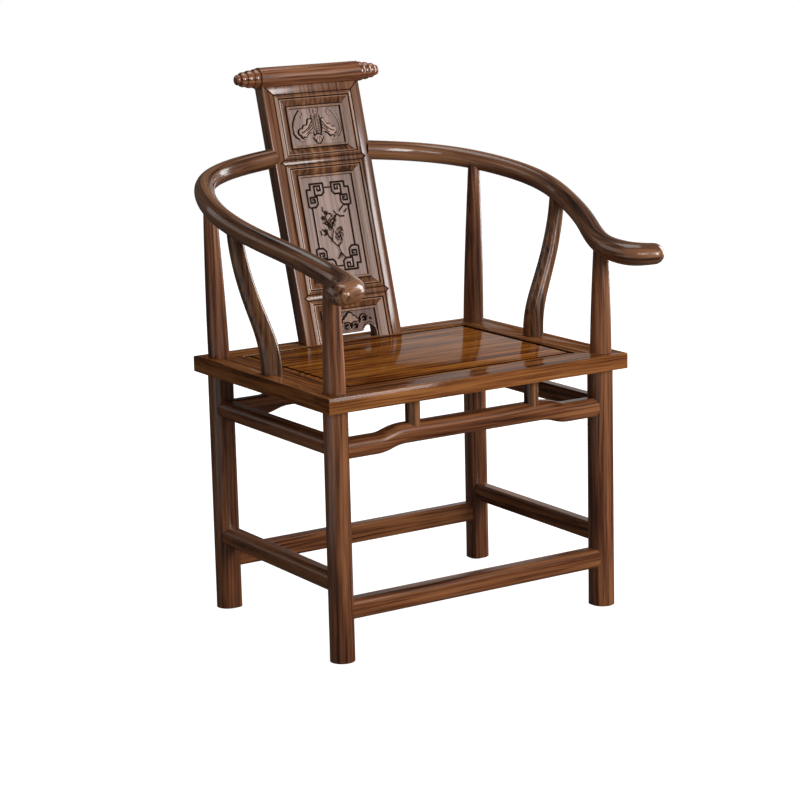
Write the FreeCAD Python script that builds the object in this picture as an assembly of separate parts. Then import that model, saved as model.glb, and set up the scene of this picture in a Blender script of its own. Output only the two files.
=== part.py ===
import FreeCAD
import Part
import math
import os

# Horseshoe back armchair, millimetres, +Z up, front towards -Y.
# All pieces are drawn with the seat's centre over x = 0, y = 0, and are moved at the end
# so that the origin lies on the floor under the middle of the chair's bounding box.

V = FreeCAD.Vector

# Seat frame and panel
SEAT_W = 620.0
SEAT_D = 474.0
SEAT_TOP = 466.0
SEAT_T = 28.0
SEAT_END_RAIL = 58.0        # width of the front and back rails
SEAT_SIDE_RAIL = 70.5       # width of the side rails
PANEL_T = 12.0
PANEL_LIP = 3.5             # frame wood left above the panel's tongue
PANEL_BEVEL = 12.0          # sloping edge round the raised field
PANEL_TONGUE = 8.0
FRAME_TENON_T = 9.0
FRAME_TENON_W = 13.0
FRAME_TENON_L = 34.0
FRAME_TENON_SET = 6.0       # from the panel's opening to the tenon
FRAME_TENON_UP = 4.5        # from the frame's underside to the tenon
BATTEN_W = 34.0
BATTEN_T = 13.0
BATTEN_X = 98.0
BATTEN_TENON = 10.0

# Legs, and the arm posts that grow out of them
LEG_INSET_X = 33.0          # from the seat's side edge to the leg's axis
LEG_INSET_Y = 36.0          # from the seat's front or back edge to the leg's axis
LEG_FOOT = 43.5
LEG_HEAD = 42.5
LEG_CORNER_R = 13.0
POST_NECK = 38.6            # diameter where a post stands on the seat
FRONT_POST_TOP = 25.5
BACK_POST_TOP = 21.0
BACK_POST_LEAN_SHARE = 0.5  # of the way from above the leg out to the rail
SIDE_POST_FOOT = 38.0
SIDE_POST_TOP = 27.0
SIDE_POST_X = 31.5          # from the seat's side edge to the side post's foot
SIDE_POST_Y = 7.0
SIDE_POST_LEAN = 5.0        # its top lies this far behind its foot
SIDE_POST_TENON_D = 20.0
SIDE_POST_TENON_L = 18.0
POST_TENON_D = 12.0
POST_TENON_L = 38.0         # along the post, from inside its top into the rail
POST_TENON_RISE = 6.0       # how far it passes the rail's centre line

# Arm rail, from the splat's side to the arm's end
RAIL_D = 36.0
RAIL_BACK_LIFT = 334.5      # from the seat up to the rail's centre line at the splat
RAIL_SET = 15.0             # from the splat's front face back to the rail's centre line
RAIL_OVERHANG = 31.0        # from the seat's side edge to the rail's widest centre line
ARM_END_LIFT = 184.0        # from the seat up to the centre of the arm's end
ARM_REACH = 61.0            # from the seat's front edge to the centre of the arm's end
ARM_FULL_W = 52.0           # section of the arm where it is fullest
ARM_FULL_H = 42.0
RAIL_TENON_W = 11.0
RAIL_TENON_H = 17.0
RAIL_TENON_L = 14.0
SCARF_L = 64.0
SCARF_PEG_D = 7.0
SCARF_PEG_L = 25.0

# Splat, a leaning frame with three panels
SPLAT_W = 208.0
SPLAT_T = 34.0
SPLAT_SETBACK = 2.5         # from the back seat rail's inner edge to the splat's front foot
SPLAT_RISE = 131.1          # lean of the front face, back over
SPLAT_RUN = 460.0           # this height
SPLAT_CORNER_R = 6.0
STILE_W = 49.0              # each stile, and the same again on the top rail's mitre
BOTTOM_FIELD_TOP = 54.5     # from the seat; this and the next are heights along the face
LOWER_RAIL_H = 65.0
MIDDLE_FIELD_H = 190.0
UPPER_RAIL_H = 60.0
TOP_FIELD_H = 69.0
TOP_RAIL_H = 62.5           # from the top field up to the scroll's axis
MITRE_MARGIN = 15.0         # from a middle rail's pointed end to the splat's side
MOULD_W = 29.0              # whole width of the moulding round a field
MOULD_DEPTH = 5.8           # from the ridge down to the edge round the panel
MOULD_BACK = 2.8            # from the ridge down to the moulding's outer edge
FACE_DROP = 2.4             # from the ridge down to the flat face of the stiles
SPLAT_PANEL_T = 9.0
SPLAT_PANEL_FRONT = 8.0     # from the ridge down to the panel's field
SPLAT_PANEL_TONGUE = 7.0
SPLAT_TENON_T = 14.0
SPLAT_TENON_W = 30.0
SPLAT_TENON_L = 20.0
MID_TENON_T = 8.0
MID_TENON_H = 16.0
MID_TENON_L = 8.0           # past the rail's pointed end
MID_TENON_SHARE = 0.36      # height of the tenon on the rail
CUTOUT_FOOT = 3.5           # width of the bottom panel's feet
CUTOUT_LOBE = 24.0          # half width of the lower edge's middle
CUTOUT_LOBE_H = 15.0
CUTOUT_PEAK = 41.0          # from the middle to the top of each arch
CUTOUT_ARCH_H = 26.0
CUTOUT_SPRING_H = 14.0      # height at which the arch leaves the foot
CUTOUT_BOW_SHARE = 0.15     # how far the arch swells beyond its chord

# Scroll rail on top of the splat
SCROLL_D = 39.4
SCROLL_INSET = 9.5          # from the splat's ridge back to the scroll's axis
SCROLL_OVERHANG = 2.0       # how far the plain body passes each side of the splat
SPLAT_END = 12.0            # the splat's frame stops this far short of the scroll's axis
BEAD_LENGTHS = (12.0, 13.5, 12.0, 9.5)
BEAD_DIAMETERS = (36.0, 32.5, 27.5, 19.5)
BEAD_CREST_SHARES = (0.5, 0.5, 0.5, 0.38)
BEAD_NECK = 4.0             # how much less the diameter is between two beads
BEAD_TIP = 5.0              # flat end of the last bead
SCROLL_TONGUE_T = 10.0
SCROLL_TONGUE_H = 9.0
SCROLL_TONGUE_W = 150.0

# Stretchers between the legs
BAR_DEPTH = 31.0
BAR_OUTER_R = 14.0
BAR_INNER_R = 4.0
HUMP_BAR_H = 34.5
HUMP_DROP = 87.5            # from the seat's underside down to the bar's, at the legs
HUMP_RISE = 10.5
HUMP_HALF = 140.0           # half length of the raised middle
HUMP_SLOPE = 60.0           # length of each rise
UPPER_SIDE_DROP = 82.0      # the same for the upper side stretchers
UPPER_SIDE_H = 31.0
FOOT_RAIL_Z = 70.5
FOOT_RAIL_H = 36.0
FOOT_RAIL_TOP_R = 9.0
LOWER_BACK_Z = 76.5
LOWER_BACK_H = 36.0
LOWER_SIDE_Z = 118.0
LOWER_SIDE_H = 32.5
BAR_TENON_T = 10.0
BAR_TENON_H = 20.0
BAR_TENON_L = 13.0
STRUT_X = 124.0
STRUT_D = 26.0
STRUT_FLAT = 8.0            # from the strut's axis to its flat inner side
STRUT_TENON_D = 12.0
STRUT_TENON_L = 12.0

JOINT_GAP = 0.1             # clearance of a tenon or a post in its hole, each side
OVERRUN = 5.0               # how far a cutting solid passes the wood it cuts
FAR = 2000.0                # larger than the chair
HALVINGS = 40               # steps of the search for a place on the rail

# Worked out from the sizes above
SEAT_UNDER = SEAT_TOP - SEAT_T
OPEN_X = SEAT_W / 2 - SEAT_SIDE_RAIL
OPEN_Y = SEAT_D / 2 - SEAT_END_RAIL
LEG_X = SEAT_W / 2 - LEG_INSET_X
LEG_Y = SEAT_D / 2 - LEG_INSET_Y
TONGUE_TOP = SEAT_TOP - PANEL_LIP
PANEL_UNDER = SEAT_TOP - PANEL_T
SPLAT_FOOT_Y = OPEN_Y + SPLAT_SETBACK
LEAN = math.atan2(SPLAT_RISE, SPLAT_RUN)
MIDDLE_FIELD_FOOT = BOTTOM_FIELD_TOP + LOWER_RAIL_H
MIDDLE_FIELD_TOP = MIDDLE_FIELD_FOOT + MIDDLE_FIELD_H
TOP_FIELD_FOOT = MIDDLE_FIELD_TOP + UPPER_RAIL_H
TOP_FIELD_TOP = TOP_FIELD_FOOT + TOP_FIELD_H
SCROLL_LIFT = TOP_FIELD_TOP + TOP_RAIL_H
SCROLL_BODY = SPLAT_W + 2 * SCROLL_OVERHANG
MITRE_REACH = STILE_W - MITRE_MARGIN
RAIL_BACK_Z = SEAT_TOP + RAIL_BACK_LIFT
ARM_END_Z = SEAT_TOP + ARM_END_LIFT
HUMP_END_Z = SEAT_UNDER - HUMP_DROP
HUMP_TOP = HUMP_END_Z + HUMP_RISE + HUMP_BAR_H
UPPER_SIDE_Z = SEAT_UNDER - UPPER_SIDE_DROP


def box(x0, x1, y0, y1, z0, z1):
    return Part.makeBox(x1 - x0, y1 - y0, z1 - z0, V(x0, y0, z0))


def cylinder_z(x, y, z0, z1, diameter):
    return Part.makeCylinder(diameter / 2, z1 - z0, V(x, y, z0))


def mirrored(shape):
    return shape.mirror(V(0, 0, 0), V(1, 0, 0))


def union(first, *others):
    result = first
    for other in others:
        result = result.fuse(other)
    return result.removeSplitter()


def cut_all(shape, tools):
    for tool in tools:
        shape = shape.cut(tool)
    return shape


def largest(shape):
    # the wood that stays after a cut, without the offcuts
    return max(shape.Solids, key=lambda solid: solid.Volume)


def prism(outline, direction):
    wire = Part.makePolygon([V(*p) for p in outline] + [V(*outline[0])])
    return Part.Face(wire).extrude(direction)


# The rail's centre line, as shares of its half width, of the way from the arm's end back
# to the splat, and of its fall; the first point lies at the splat's side
RAIL_PATH_SHARES = (
    (None, 1.0, 0.0),
    (0.5425, 0.9790, 0.0565),
    (0.7698, 0.9050, 0.1329),
    (0.9326, 0.7590, 0.2492),
    (1.0, 0.6065, 0.3887),
    (0.9680, 0.4370, 0.5748),
    (0.8842, 0.2845, 0.7475),
    (0.8138, 0.1524, 0.9236),
    (0.8167, 0.0813, 0.9767),
    (0.8534, 0.0288, 0.9967),
    (0.9384, 0.0, 1.0),
)
# how far the section has swelled from the round rail to the fullest arm, at those points
SWELL_W_SHARES = (0.0, 0.0, 0.0, 0.0, 0.0, 0.02, 0.06, 0.22, 0.6, 1.0, 0.88)
SWELL_H_SHARES = (0.0, 0.0, 0.0, 0.0, 0.0, 0.05, 0.15, 0.5, 1.0, 0.95, 0.3)
TIP_SHARES = (0.3, 0.55, 0.75, 0.9, 0.975)
# the splat's moulding, from its ridge in to the panel: share of its width from the panel's
# edge, share of its depth
MOULD_SHARES = ((0.76, 0.0), (0.69, 0.31), (0.276, 0.86), (0.0, 1.0))
# a corner post's taper: share of its height, share of its loss of diameter
POST_TAPER_SHARES = ((0.0, 0.0), (0.25, 0.125), (0.5, 0.354), (0.75, 0.65), (1.0, 1.0))


def splat_point(across, along, depth):
    # a point given in the splat's own directions: across, up its face, and back from it
    return V(across,
             SPLAT_FOOT_Y + along * math.sin(LEAN) + depth * math.cos(LEAN),
             SEAT_TOP + along * math.cos(LEAN) - depth * math.sin(LEAN))


def on_splat(shape):
    # a shape drawn upright, with its front at y = 0 and its foot at z = 0, leaned back
    placed = shape.copy()
    placed.rotate(V(0, 0, 0), V(1, 0, 0), -math.degrees(LEAN))
    placed.translate(V(0, SPLAT_FOOT_Y, SEAT_TOP))
    return placed


def rail_points():
    back_y = (SPLAT_FOOT_Y + (RAIL_BACK_Z - SEAT_TOP) * math.tan(LEAN)
              + RAIL_SET / math.cos(LEAN))
    front_y = -SEAT_D / 2 - ARM_REACH
    half = SEAT_W / 2 + RAIL_OVERHANG
    points = []
    for across, along, fall in RAIL_PATH_SHARES:
        x = SPLAT_W / 2 if across is None else half * across
        y = front_y + (back_y - front_y) * along
        z = RAIL_BACK_Z - (RAIL_BACK_Z - ARM_END_Z) * fall
        points.append(V(x, y, z))
    return points


def chord_lengths(points):
    lengths = [0.0]
    for a, b in zip(points, points[1:]):
        lengths.append(lengths[-1] + (b - a).Length)
    return lengths


def spline(points):
    curve = Part.BSplineCurve()
    curve.interpolate(Points=points, Parameters=chord_lengths(points))
    return curve


RAIL_POINTS = rail_points()
RAIL_STATIONS = chord_lengths(RAIL_POINTS)
RAIL_CURVE = spline(RAIL_POINTS)


def rail_at_y(y):
    # the parameter at which the right half of the rail crosses a plane across the chair
    low = RAIL_STATIONS[0]
    high = RAIL_STATIONS[-1]
    for _ in range(HALVINGS):
        middle = (low + high) / 2
        if RAIL_CURVE.value(middle).y > y:
            low = middle
        else:
            high = middle
    return low


def share_at(u, shares):
    # a value of a table at a parameter of the rail, in a straight line between its points
    for i in range(len(RAIL_STATIONS) - 1):
        if u <= RAIL_STATIONS[i + 1]:
            part = max(u - RAIL_STATIONS[i], 0.0) / (RAIL_STATIONS[i + 1] - RAIL_STATIONS[i])
            return shares[i] + part * (shares[i + 1] - shares[i])
    return shares[-1]


def rail_halves(u):
    # half width and half height of the rail's section at a parameter
    half_w = (RAIL_D + (ARM_FULL_W - RAIL_D) * share_at(u, SWELL_W_SHARES)) / 2
    half_h = (RAIL_D + (ARM_FULL_H - RAIL_D) * share_at(u, SWELL_H_SHARES)) / 2
    return half_w, min(half_h, half_w)


def placed_across(shape, centre, tangent):
    # turns a flat section so that it stands square to the tangent, its X level
    side = tangent.cross(V(0, 0, 1))
    up = side.cross(tangent)
    turn = FreeCAD.Rotation(side, up, tangent, "ZXY")
    placed = shape.copy()
    placed.Placement = FreeCAD.Placement(centre, turn)
    return placed


def ellipse_section(half_w, half_h, centre, tangent):
    # the outline starts between the section's two axes, clear of the lap's flat face
    start = math.pi / 4
    edge = Part.Ellipse(V(0, 0, 0), half_w, half_h).toShape(start, start + 2 * math.pi)
    return placed_across(Part.Wire([edge]), centre, tangent)


def rail_sections():
    sections = []
    start = RAIL_CURVE.tangent(RAIL_STATIONS[0])[0]
    half_w, half_h = rail_halves(RAIL_STATIONS[0])
    # one section inside the splat, so that the rail can be cut square at its side
    sections.append((RAIL_POINTS[0] - start * RAIL_D / 2, start, half_w, half_h))
    for i in range(len(RAIL_STATIONS) - 1):
        middle = (RAIL_STATIONS[i] + RAIL_STATIONS[i + 1]) / 2
        for u in (RAIL_STATIONS[i], middle):
            half_w, half_h = rail_halves(u)
            sections.append((RAIL_CURVE.value(u), RAIL_CURVE.tangent(u)[0], half_w, half_h))
    end = RAIL_CURVE.tangent(RAIL_STATIONS[-1])[0]
    half_w, half_h = rail_halves(RAIL_STATIONS[-1])
    sections.append((RAIL_POINTS[-1], end, half_w, half_h))
    for share in TIP_SHARES:
        shrink = math.sqrt(1 - share * share)
        centre = RAIL_POINTS[-1] + end * half_h * share
        sections.append((centre, end, half_w * shrink, half_h * shrink))
    return sections


RAIL_SECTIONS = rail_sections()


def whole_rail():
    wires = []
    for centre, tangent, half_w, half_h in RAIL_SECTIONS:
        wires.append(ellipse_section(half_w, half_h, centre, tangent))
    return Part.makeLoft(wires, True, False).Solids[0]


def round_member(stations):
    # a turned or bent member through level circles, each given as (centre, diameter)
    wires = []
    for centre, diameter in stations:
        wires.append(Part.Wire([Part.Circle(centre, V(0, 0, 1), diameter / 2).toShape()]))
    return Part.makeLoft(wires, True, False).Solids[0]


def tapered_post(foot, top, foot_d, top_d, drop):
    # a post that tapers more and more upwards, and runs on down at its foot's size
    stations = []
    for up, taper in POST_TAPER_SHARES:
        stations.append((foot + (top - foot) * up, foot_d + (top_d - foot_d) * taper))
    neck = cylinder_z(foot.x, foot.y, foot.z - drop, foot.z, foot_d)
    return union(round_member(stations), neck)


def leg_section(size, z, sign_y):
    # round towards the outside, square towards the inside of the chair; centred on 0, 0
    r = size / 2
    c = LEG_CORNER_R
    inner_x = -r
    inner_y = -r * sign_y
    corner_y = inner_y + c * sign_y
    k = c * (1 - math.sqrt(0.5))
    edges = [
        Part.LineSegment(V(0, inner_y, z), V(inner_x + c, inner_y, z)).toShape(),
        Part.Arc(V(inner_x + c, inner_y, z),
                 V(inner_x + k, inner_y + k * sign_y, z),
                 V(inner_x, corner_y, z)).toShape(),
        Part.LineSegment(V(inner_x, corner_y, z), V(inner_x, 0, z)).toShape(),
        Part.Arc(V(inner_x, 0, z),
                 V(-r * math.sqrt(0.5), r * math.sqrt(0.5) * sign_y, z),
                 V(0, r * sign_y, z)).toShape(),
        Part.Arc(V(0, r * sign_y, z),
                 V(r, 0, z),
                 V(0, inner_y, z)).toShape(),
    ]
    return Part.Wire(edges)


def raw_leg(sign_y):
    # the right-hand leg, from the floor to the underside of the seat
    foot = leg_section(LEG_FOOT, 0, sign_y)
    head = leg_section(LEG_HEAD, SEAT_UNDER, sign_y)
    leg = Part.makeLoft([foot, head], True, True).Solids[0]
    leg.translate(V(LEG_X, LEG_Y * sign_y, 0))
    return leg


def bar_section(height, depth, outer_top_r, outer_under_r, inner_r):
    # a stretcher's section: y runs from 0 at the inner flat side to -depth outside
    k = 1 - math.sqrt(0.5)
    top = height
    out = -depth
    a = outer_top_r
    b = outer_under_r
    c = inner_r
    edges = [
        Part.LineSegment(V(0, -c, 0), V(0, out + b, 0)).toShape(),
        Part.Arc(V(0, out + b, 0), V(0, out + b * k, b * k), V(0, out, b)).toShape(),
        Part.LineSegment(V(0, out, b), V(0, out, top - a)).toShape(),
        Part.Arc(V(0, out, top - a), V(0, out + a * k, top - a * k), V(0, out + a, top)).toShape(),
        Part.LineSegment(V(0, out + a, top), V(0, -c, top)).toShape(),
        Part.Arc(V(0, -c, top), V(0, -c * k, top - c * k), V(0, 0, top - c)).toShape(),
        Part.LineSegment(V(0, 0, top - c), V(0, 0, c)).toShape(),
        Part.Arc(V(0, 0, c), V(0, -c * k, c * k), V(0, -c, 0)).toShape(),
    ]
    return Part.Wire(edges)


def hump_path(length):
    # the humpback's underside line: level, up through two arcs, level, and down again
    half = length / 2
    slope_r = (HUMP_SLOPE / 2) ** 2 / HUMP_RISE + HUMP_RISE / 4
    turn = math.atan2(HUMP_RISE, HUMP_SLOPE)
    outer = HUMP_HALF + HUMP_SLOPE
    middle = HUMP_HALF + HUMP_SLOPE / 2
    quarter_x = slope_r * math.sin(turn)
    quarter_z = slope_r * (1 - math.cos(turn))
    edges = []
    for sign in (-1, 1):
        rise = [
            Part.LineSegment(V(sign * half, 0, 0), V(sign * outer, 0, 0)).toShape(),
            Part.Arc(V(sign * outer, 0, 0),
                     V(sign * (outer - quarter_x), 0, quarter_z),
                     V(sign * middle, 0, HUMP_RISE / 2)).toShape(),
            Part.Arc(V(sign * middle, 0, HUMP_RISE / 2),
                     V(sign * (HUMP_HALF + quarter_x), 0, HUMP_RISE - quarter_z),
                     V(sign * HUMP_HALF, 0, HUMP_RISE)).toShape(),
        ]
        edges.extend(rise)
    edges.append(Part.LineSegment(V(-HUMP_HALF, 0, HUMP_RISE), V(HUMP_HALF, 0, HUMP_RISE)).toShape())
    return Part.Wire(Part.__sortEdges__(edges))


def humpback_bar(length):
    section = bar_section(HUMP_BAR_H, BAR_DEPTH, BAR_OUTER_R, BAR_OUTER_R, BAR_INNER_R)
    section.translate(V(-length / 2, 0, 0))
    return hump_path(length).makePipeShell([section], True, False).Solids[0]


def straight_bar(length, height, outer_top_r, outer_under_r):
    section = bar_section(height, BAR_DEPTH, outer_top_r, outer_under_r, BAR_INNER_R)
    bar = Part.Face(section).extrude(V(length, 0, 0))
    bar.translate(V(-length / 2, 0, 0))
    return bar


def along_x(bar, z, sign_y):
    # puts a bar between two legs at the front or back, its flat side inwards
    placed = bar.copy()
    if sign_y > 0:
        placed.rotate(V(0, 0, 0), V(0, 0, 1), 180)
    placed.translate(V(0, (LEG_Y - BAR_DEPTH / 2) * sign_y, z))
    return placed


def along_y(bar, z):
    # puts a bar between the right-hand legs, its flat side inwards
    placed = bar.copy()
    placed.rotate(V(0, 0, 0), V(0, 0, 1), 90)
    placed.translate(V(LEG_X - BAR_DEPTH / 2, 0, z))
    return placed


def grown(x0, x1, y0, y1, z0, z1):
    g = JOINT_GAP
    return box(x0 - g, x1 + g, y0 - g, y1 + g, z0 - g, z1 + g)


def bar_tenon_x(z, height, sign_y):
    # limits of the tenon at the right end of a bar along x
    inner = LEG_X - LEG_HEAD / 2
    middle = z + height / 2
    return (inner - OVERRUN, inner + BAR_TENON_L,
            LEG_Y * sign_y - BAR_TENON_T / 2, LEG_Y * sign_y + BAR_TENON_T / 2,
            middle - BAR_TENON_H / 2, middle + BAR_TENON_H / 2)


def bar_tenon_y(z, height, sign_y):
    # limits of the tenon at one end of a bar along y on the right side
    inner = (LEG_Y - LEG_HEAD / 2) * sign_y
    ends = sorted((inner - OVERRUN * sign_y, inner + BAR_TENON_L * sign_y))
    middle = z + height / 2
    return (LEG_X - BAR_TENON_T / 2, LEG_X + BAR_TENON_T / 2, ends[0], ends[1],
            middle - BAR_TENON_H / 2, middle + BAR_TENON_H / 2)


# Heights and sizes of every bar: underside and height, for the mortises in the legs
BARS_X = {
    -1: ((HUMP_END_Z, HUMP_BAR_H), (FOOT_RAIL_Z, FOOT_RAIL_H)),
    1: ((HUMP_END_Z, HUMP_BAR_H), (LOWER_BACK_Z, LOWER_BACK_H)),
}
BARS_Y = ((UPPER_SIDE_Z, UPPER_SIDE_H), (LOWER_SIDE_Z, LOWER_SIDE_H))


def stretcher_x(bar, z, height, sign_y):
    placed = along_x(bar, z, sign_y)
    leg = raw_leg(sign_y)
    placed = largest(cut_all(placed, [leg, mirrored(leg)]))
    tenon = box(*bar_tenon_x(z, height, sign_y))
    return union(placed, tenon, mirrored(tenon))


def stretcher_y(bar, z, height):
    placed = along_y(bar, z)
    placed = largest(cut_all(placed, [raw_leg(-1), raw_leg(1)]))
    tenons = [box(*bar_tenon_y(z, height, sign_y)) for sign_y in (-1, 1)]
    return union(placed, *tenons)


def post_tenon(u, x, y):
    # the round tenon that pins a post's top into the rail
    z = RAIL_CURVE.value(u).z + POST_TENON_RISE
    return cylinder_z(x, y, z - POST_TENON_L, z, POST_TENON_D)


def post_tenon_hole(u, x, y):
    z = RAIL_CURVE.value(u).z + POST_TENON_RISE + JOINT_GAP
    return cylinder_z(x, y, z - POST_TENON_L - OVERRUN, z, POST_TENON_D + 2 * JOINT_GAP)


# Where the three posts of the right side meet the rail: parameter on the rail, x and y
FRONT_U = rail_at_y(-LEG_Y)
BACK_U = rail_at_y(LEG_Y)
SIDE_U = rail_at_y(SIDE_POST_Y + SIDE_POST_LEAN)
FRONT_TOP = V(RAIL_CURVE.value(FRONT_U).x, -LEG_Y, RAIL_CURVE.value(FRONT_U).z)
BACK_TOP = V(LEG_X + (RAIL_CURVE.value(BACK_U).x - LEG_X) * BACK_POST_LEAN_SHARE, LEG_Y,
             RAIL_CURVE.value(BACK_U).z)
SIDE_TOP = V(RAIL_CURVE.value(SIDE_U).x, SIDE_POST_Y + SIDE_POST_LEAN,
             RAIL_CURVE.value(SIDE_U).z)
SIDE_FOOT_X = SEAT_W / 2 - SIDE_POST_X

# The side post's bend: share of its height, share of its way outwards, share of its taper
SIDE_POST_SHARES = (
    (0.0, 0.0, 0.0),
    (0.10, 0.02, 0.08),
    (0.24, 0.14, 0.24),
    (0.38, 0.35, 0.42),
    (0.54, 0.60, 0.60),
    (0.70, 0.80, 0.76),
    (0.86, 0.94, 0.90),
    (1.0, 1.0, 1.0),
)


def side_post_raw():
    foot = V(SIDE_FOOT_X, SIDE_POST_Y, SEAT_TOP)
    stations = []
    for up, out, taper in SIDE_POST_SHARES:
        centre = V(foot.x + (SIDE_TOP.x - foot.x) * out,
                   foot.y + (SIDE_TOP.y - foot.y) * up,
                   foot.z + (SIDE_TOP.z - foot.z) * up)
        stations.append((centre, SIDE_POST_FOOT + (SIDE_POST_TOP - SIDE_POST_FOOT) * taper))
    return round_member(stations)


def leg_with_post(sign_y, rail):
    if sign_y < 0:
        top, top_d, u = FRONT_TOP, FRONT_POST_TOP, FRONT_U
    else:
        top, top_d, u = BACK_TOP, BACK_POST_TOP, BACK_U
    foot = V(LEG_X, LEG_Y * sign_y, SEAT_TOP)
    post = tapered_post(foot, top, POST_NECK, top_d, SEAT_T)
    post = largest(post.cut(rail))
    leg = union(raw_leg(sign_y), post, post_tenon(u, top.x, top.y))
    for z, height in BARS_X[sign_y]:
        leg = leg.cut(grown(*bar_tenon_x(z, height, sign_y)))
    for z, height in BARS_Y:
        leg = leg.cut(grown(*bar_tenon_y(z, height, sign_y)))
    return leg


def side_post(rail):
    post = largest(side_post_raw().cut(rail))
    foot = cylinder_z(SIDE_FOOT_X, SIDE_POST_Y, SEAT_TOP - SIDE_POST_TENON_L,
                      SEAT_TOP + OVERRUN, SIDE_POST_TENON_D)
    return union(post, foot, post_tenon(SIDE_U, SIDE_TOP.x, SIDE_TOP.y))


def rail_tenon_limits():
    at = RAIL_POINTS[0]
    side = SPLAT_W / 2
    return (side - RAIL_TENON_L, side + RAIL_D / 2,
            at.y - RAIL_TENON_W / 2, at.y + RAIL_TENON_W / 2,
            at.z - RAIL_TENON_H / 2, at.z + RAIL_TENON_H / 2)


def scarf_frame():
    # centre and directions of the scarf, halfway between the back post and the side post
    u = (BACK_U + SIDE_U) / 2
    return RAIL_CURVE.value(u), RAIL_CURVE.tangent(u)[0]


def scarf_tool():
    # everything that belongs to the front timber: past the lap, and the lap's upper half
    centre, tangent = scarf_frame()
    beyond = box(-FAR, FAR, -FAR, FAR, SCARF_L / 2, FAR)
    upper = box(-FAR, FAR, 0, FAR, -SCARF_L / 2, SCARF_L / 2 + OVERRUN)
    return placed_across(beyond.fuse(upper), centre, tangent)


def scarf_peg(gap):
    # a pin square to the lap, hidden inside the rail
    centre, tangent = scarf_frame()
    length = SCARF_PEG_L + 2 * gap
    peg = Part.makeCylinder(SCARF_PEG_D / 2 + gap, length, V(0, -length / 2, 0), V(0, 1, 0))
    return placed_across(peg, centre, tangent)


def rail_pieces(rail):
    side = SPLAT_W / 2
    rail = largest(rail.cut(box(side - FAR, side, -FAR, FAR, 0, FAR)))
    tenon = box(*rail_tenon_limits())
    tool = scarf_tool()
    holes = [post_tenon_hole(FRONT_U, FRONT_TOP.x, FRONT_TOP.y),
             post_tenon_hole(SIDE_U, SIDE_TOP.x, SIDE_TOP.y),
             post_tenon_hole(BACK_U, BACK_TOP.x, BACK_TOP.y),
             scarf_peg(JOINT_GAP)]
    front = largest(cut_all(rail.common(tool), holes))
    back = largest(cut_all(union(rail.cut(tool), tenon), holes))
    return back, front


# Splat frame, drawn upright: x across, y back from the ridge of the mouldings, z up
HALF_W = SPLAT_W / 2
HALF_FIELD = HALF_W - STILE_W
BELOW = -SPLAT_T
ABOVE = SCROLL_LIFT - SPLAT_END
MID_RAILS = ((BOTTOM_FIELD_TOP, MIDDLE_FIELD_FOOT), (MIDDLE_FIELD_TOP, TOP_FIELD_FOOT))
# how much narrower the moulding is on each middle rail than on the stiles
MID_SHARES = [(high - low) / 2 / MITRE_REACH for low, high in MID_RAILS]
# each field's foot and top, and the width of the moulding there as a share of the stiles'
FIELDS = ((BELOW, BOTTOM_FIELD_TOP, 1.0, MID_SHARES[0]),
          (MIDDLE_FIELD_FOOT, MIDDLE_FIELD_TOP, MID_SHARES[0], MID_SHARES[1]),
          (TOP_FIELD_FOOT, TOP_FIELD_TOP, MID_SHARES[1], 1.0))


def field_limits(field, grow):
    z0, z1, foot_share, top_share = field
    return HALF_FIELD + grow, z0 - grow * foot_share, z1 + grow * top_share


def field_wire(field, grow, y):
    x, z0, z1 = field_limits(field, grow)
    points = [V(-x, y, z0), V(x, y, z0), V(x, y, z1), V(-x, y, z1)]
    return Part.makePolygon(points + points[:1])


def field_block(field, grow, y0, y1):
    x, z0, z1 = field_limits(field, grow)
    return box(-x, x, y0, y1, z0, z1)


def moulding_tools():
    # cutters that shape the front of the splat's frame round its three fields
    tools = []
    face = box(-HALF_W - OVERRUN, HALF_W + OVERRUN, -OVERRUN, FACE_DROP, BELOW, ABOVE)
    ridge = MOULD_W * MOULD_SHARES[0][0]
    for field in FIELDS:
        for upper, lower in zip(MOULD_SHARES, MOULD_SHARES[1:]):
            wires = [field_wire(field, MOULD_W * out, MOULD_DEPTH * down)
                     for out, down in (upper, lower)]
            tools.append(Part.makeLoft(wires, True, True))
        keep = Part.makeLoft([field_wire(field, ridge, 0),
                              field_wire(field, MOULD_W, MOULD_BACK)], True, True)
        tools.append(field_block(field, MOULD_W, 0, MOULD_BACK).cut(keep))
        face = face.cut(field_block(field, MOULD_W, -OVERRUN, FACE_DROP + OVERRUN))
    tools.append(face)
    return tools


def mid_rail_blank(low, high):
    # a middle rail, pointed at both ends where its mitres meet
    tip = HALF_FIELD + MITRE_REACH
    middle = (low + high) / 2
    outline = [(-tip, 0, middle), (-HALF_FIELD, 0, low), (HALF_FIELD, 0, low),
               (tip, 0, middle), (HALF_FIELD, 0, high), (-HALF_FIELD, 0, high)]
    return prism(outline, V(0, SPLAT_T, 0))


def mid_tenon_limits(low, high):
    z = low + (high - low) * MID_TENON_SHARE
    y = SPLAT_PANEL_FRONT + SPLAT_PANEL_T / 2
    return (HALF_FIELD, HALF_FIELD + MITRE_REACH + MID_TENON_L,
            y - MID_TENON_T / 2, y + MID_TENON_T / 2, z - MID_TENON_H / 2, z + MID_TENON_H / 2)


def top_rail_blank():
    corner = TOP_FIELD_TOP + STILE_W
    outline = [(-HALF_FIELD, 0, TOP_FIELD_TOP), (HALF_FIELD, 0, TOP_FIELD_TOP),
               (HALF_W, 0, corner), (HALF_W, 0, ABOVE), (-HALF_W, 0, ABOVE), (-HALF_W, 0, corner)]
    return prism(outline, V(0, SPLAT_T, 0))


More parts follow.
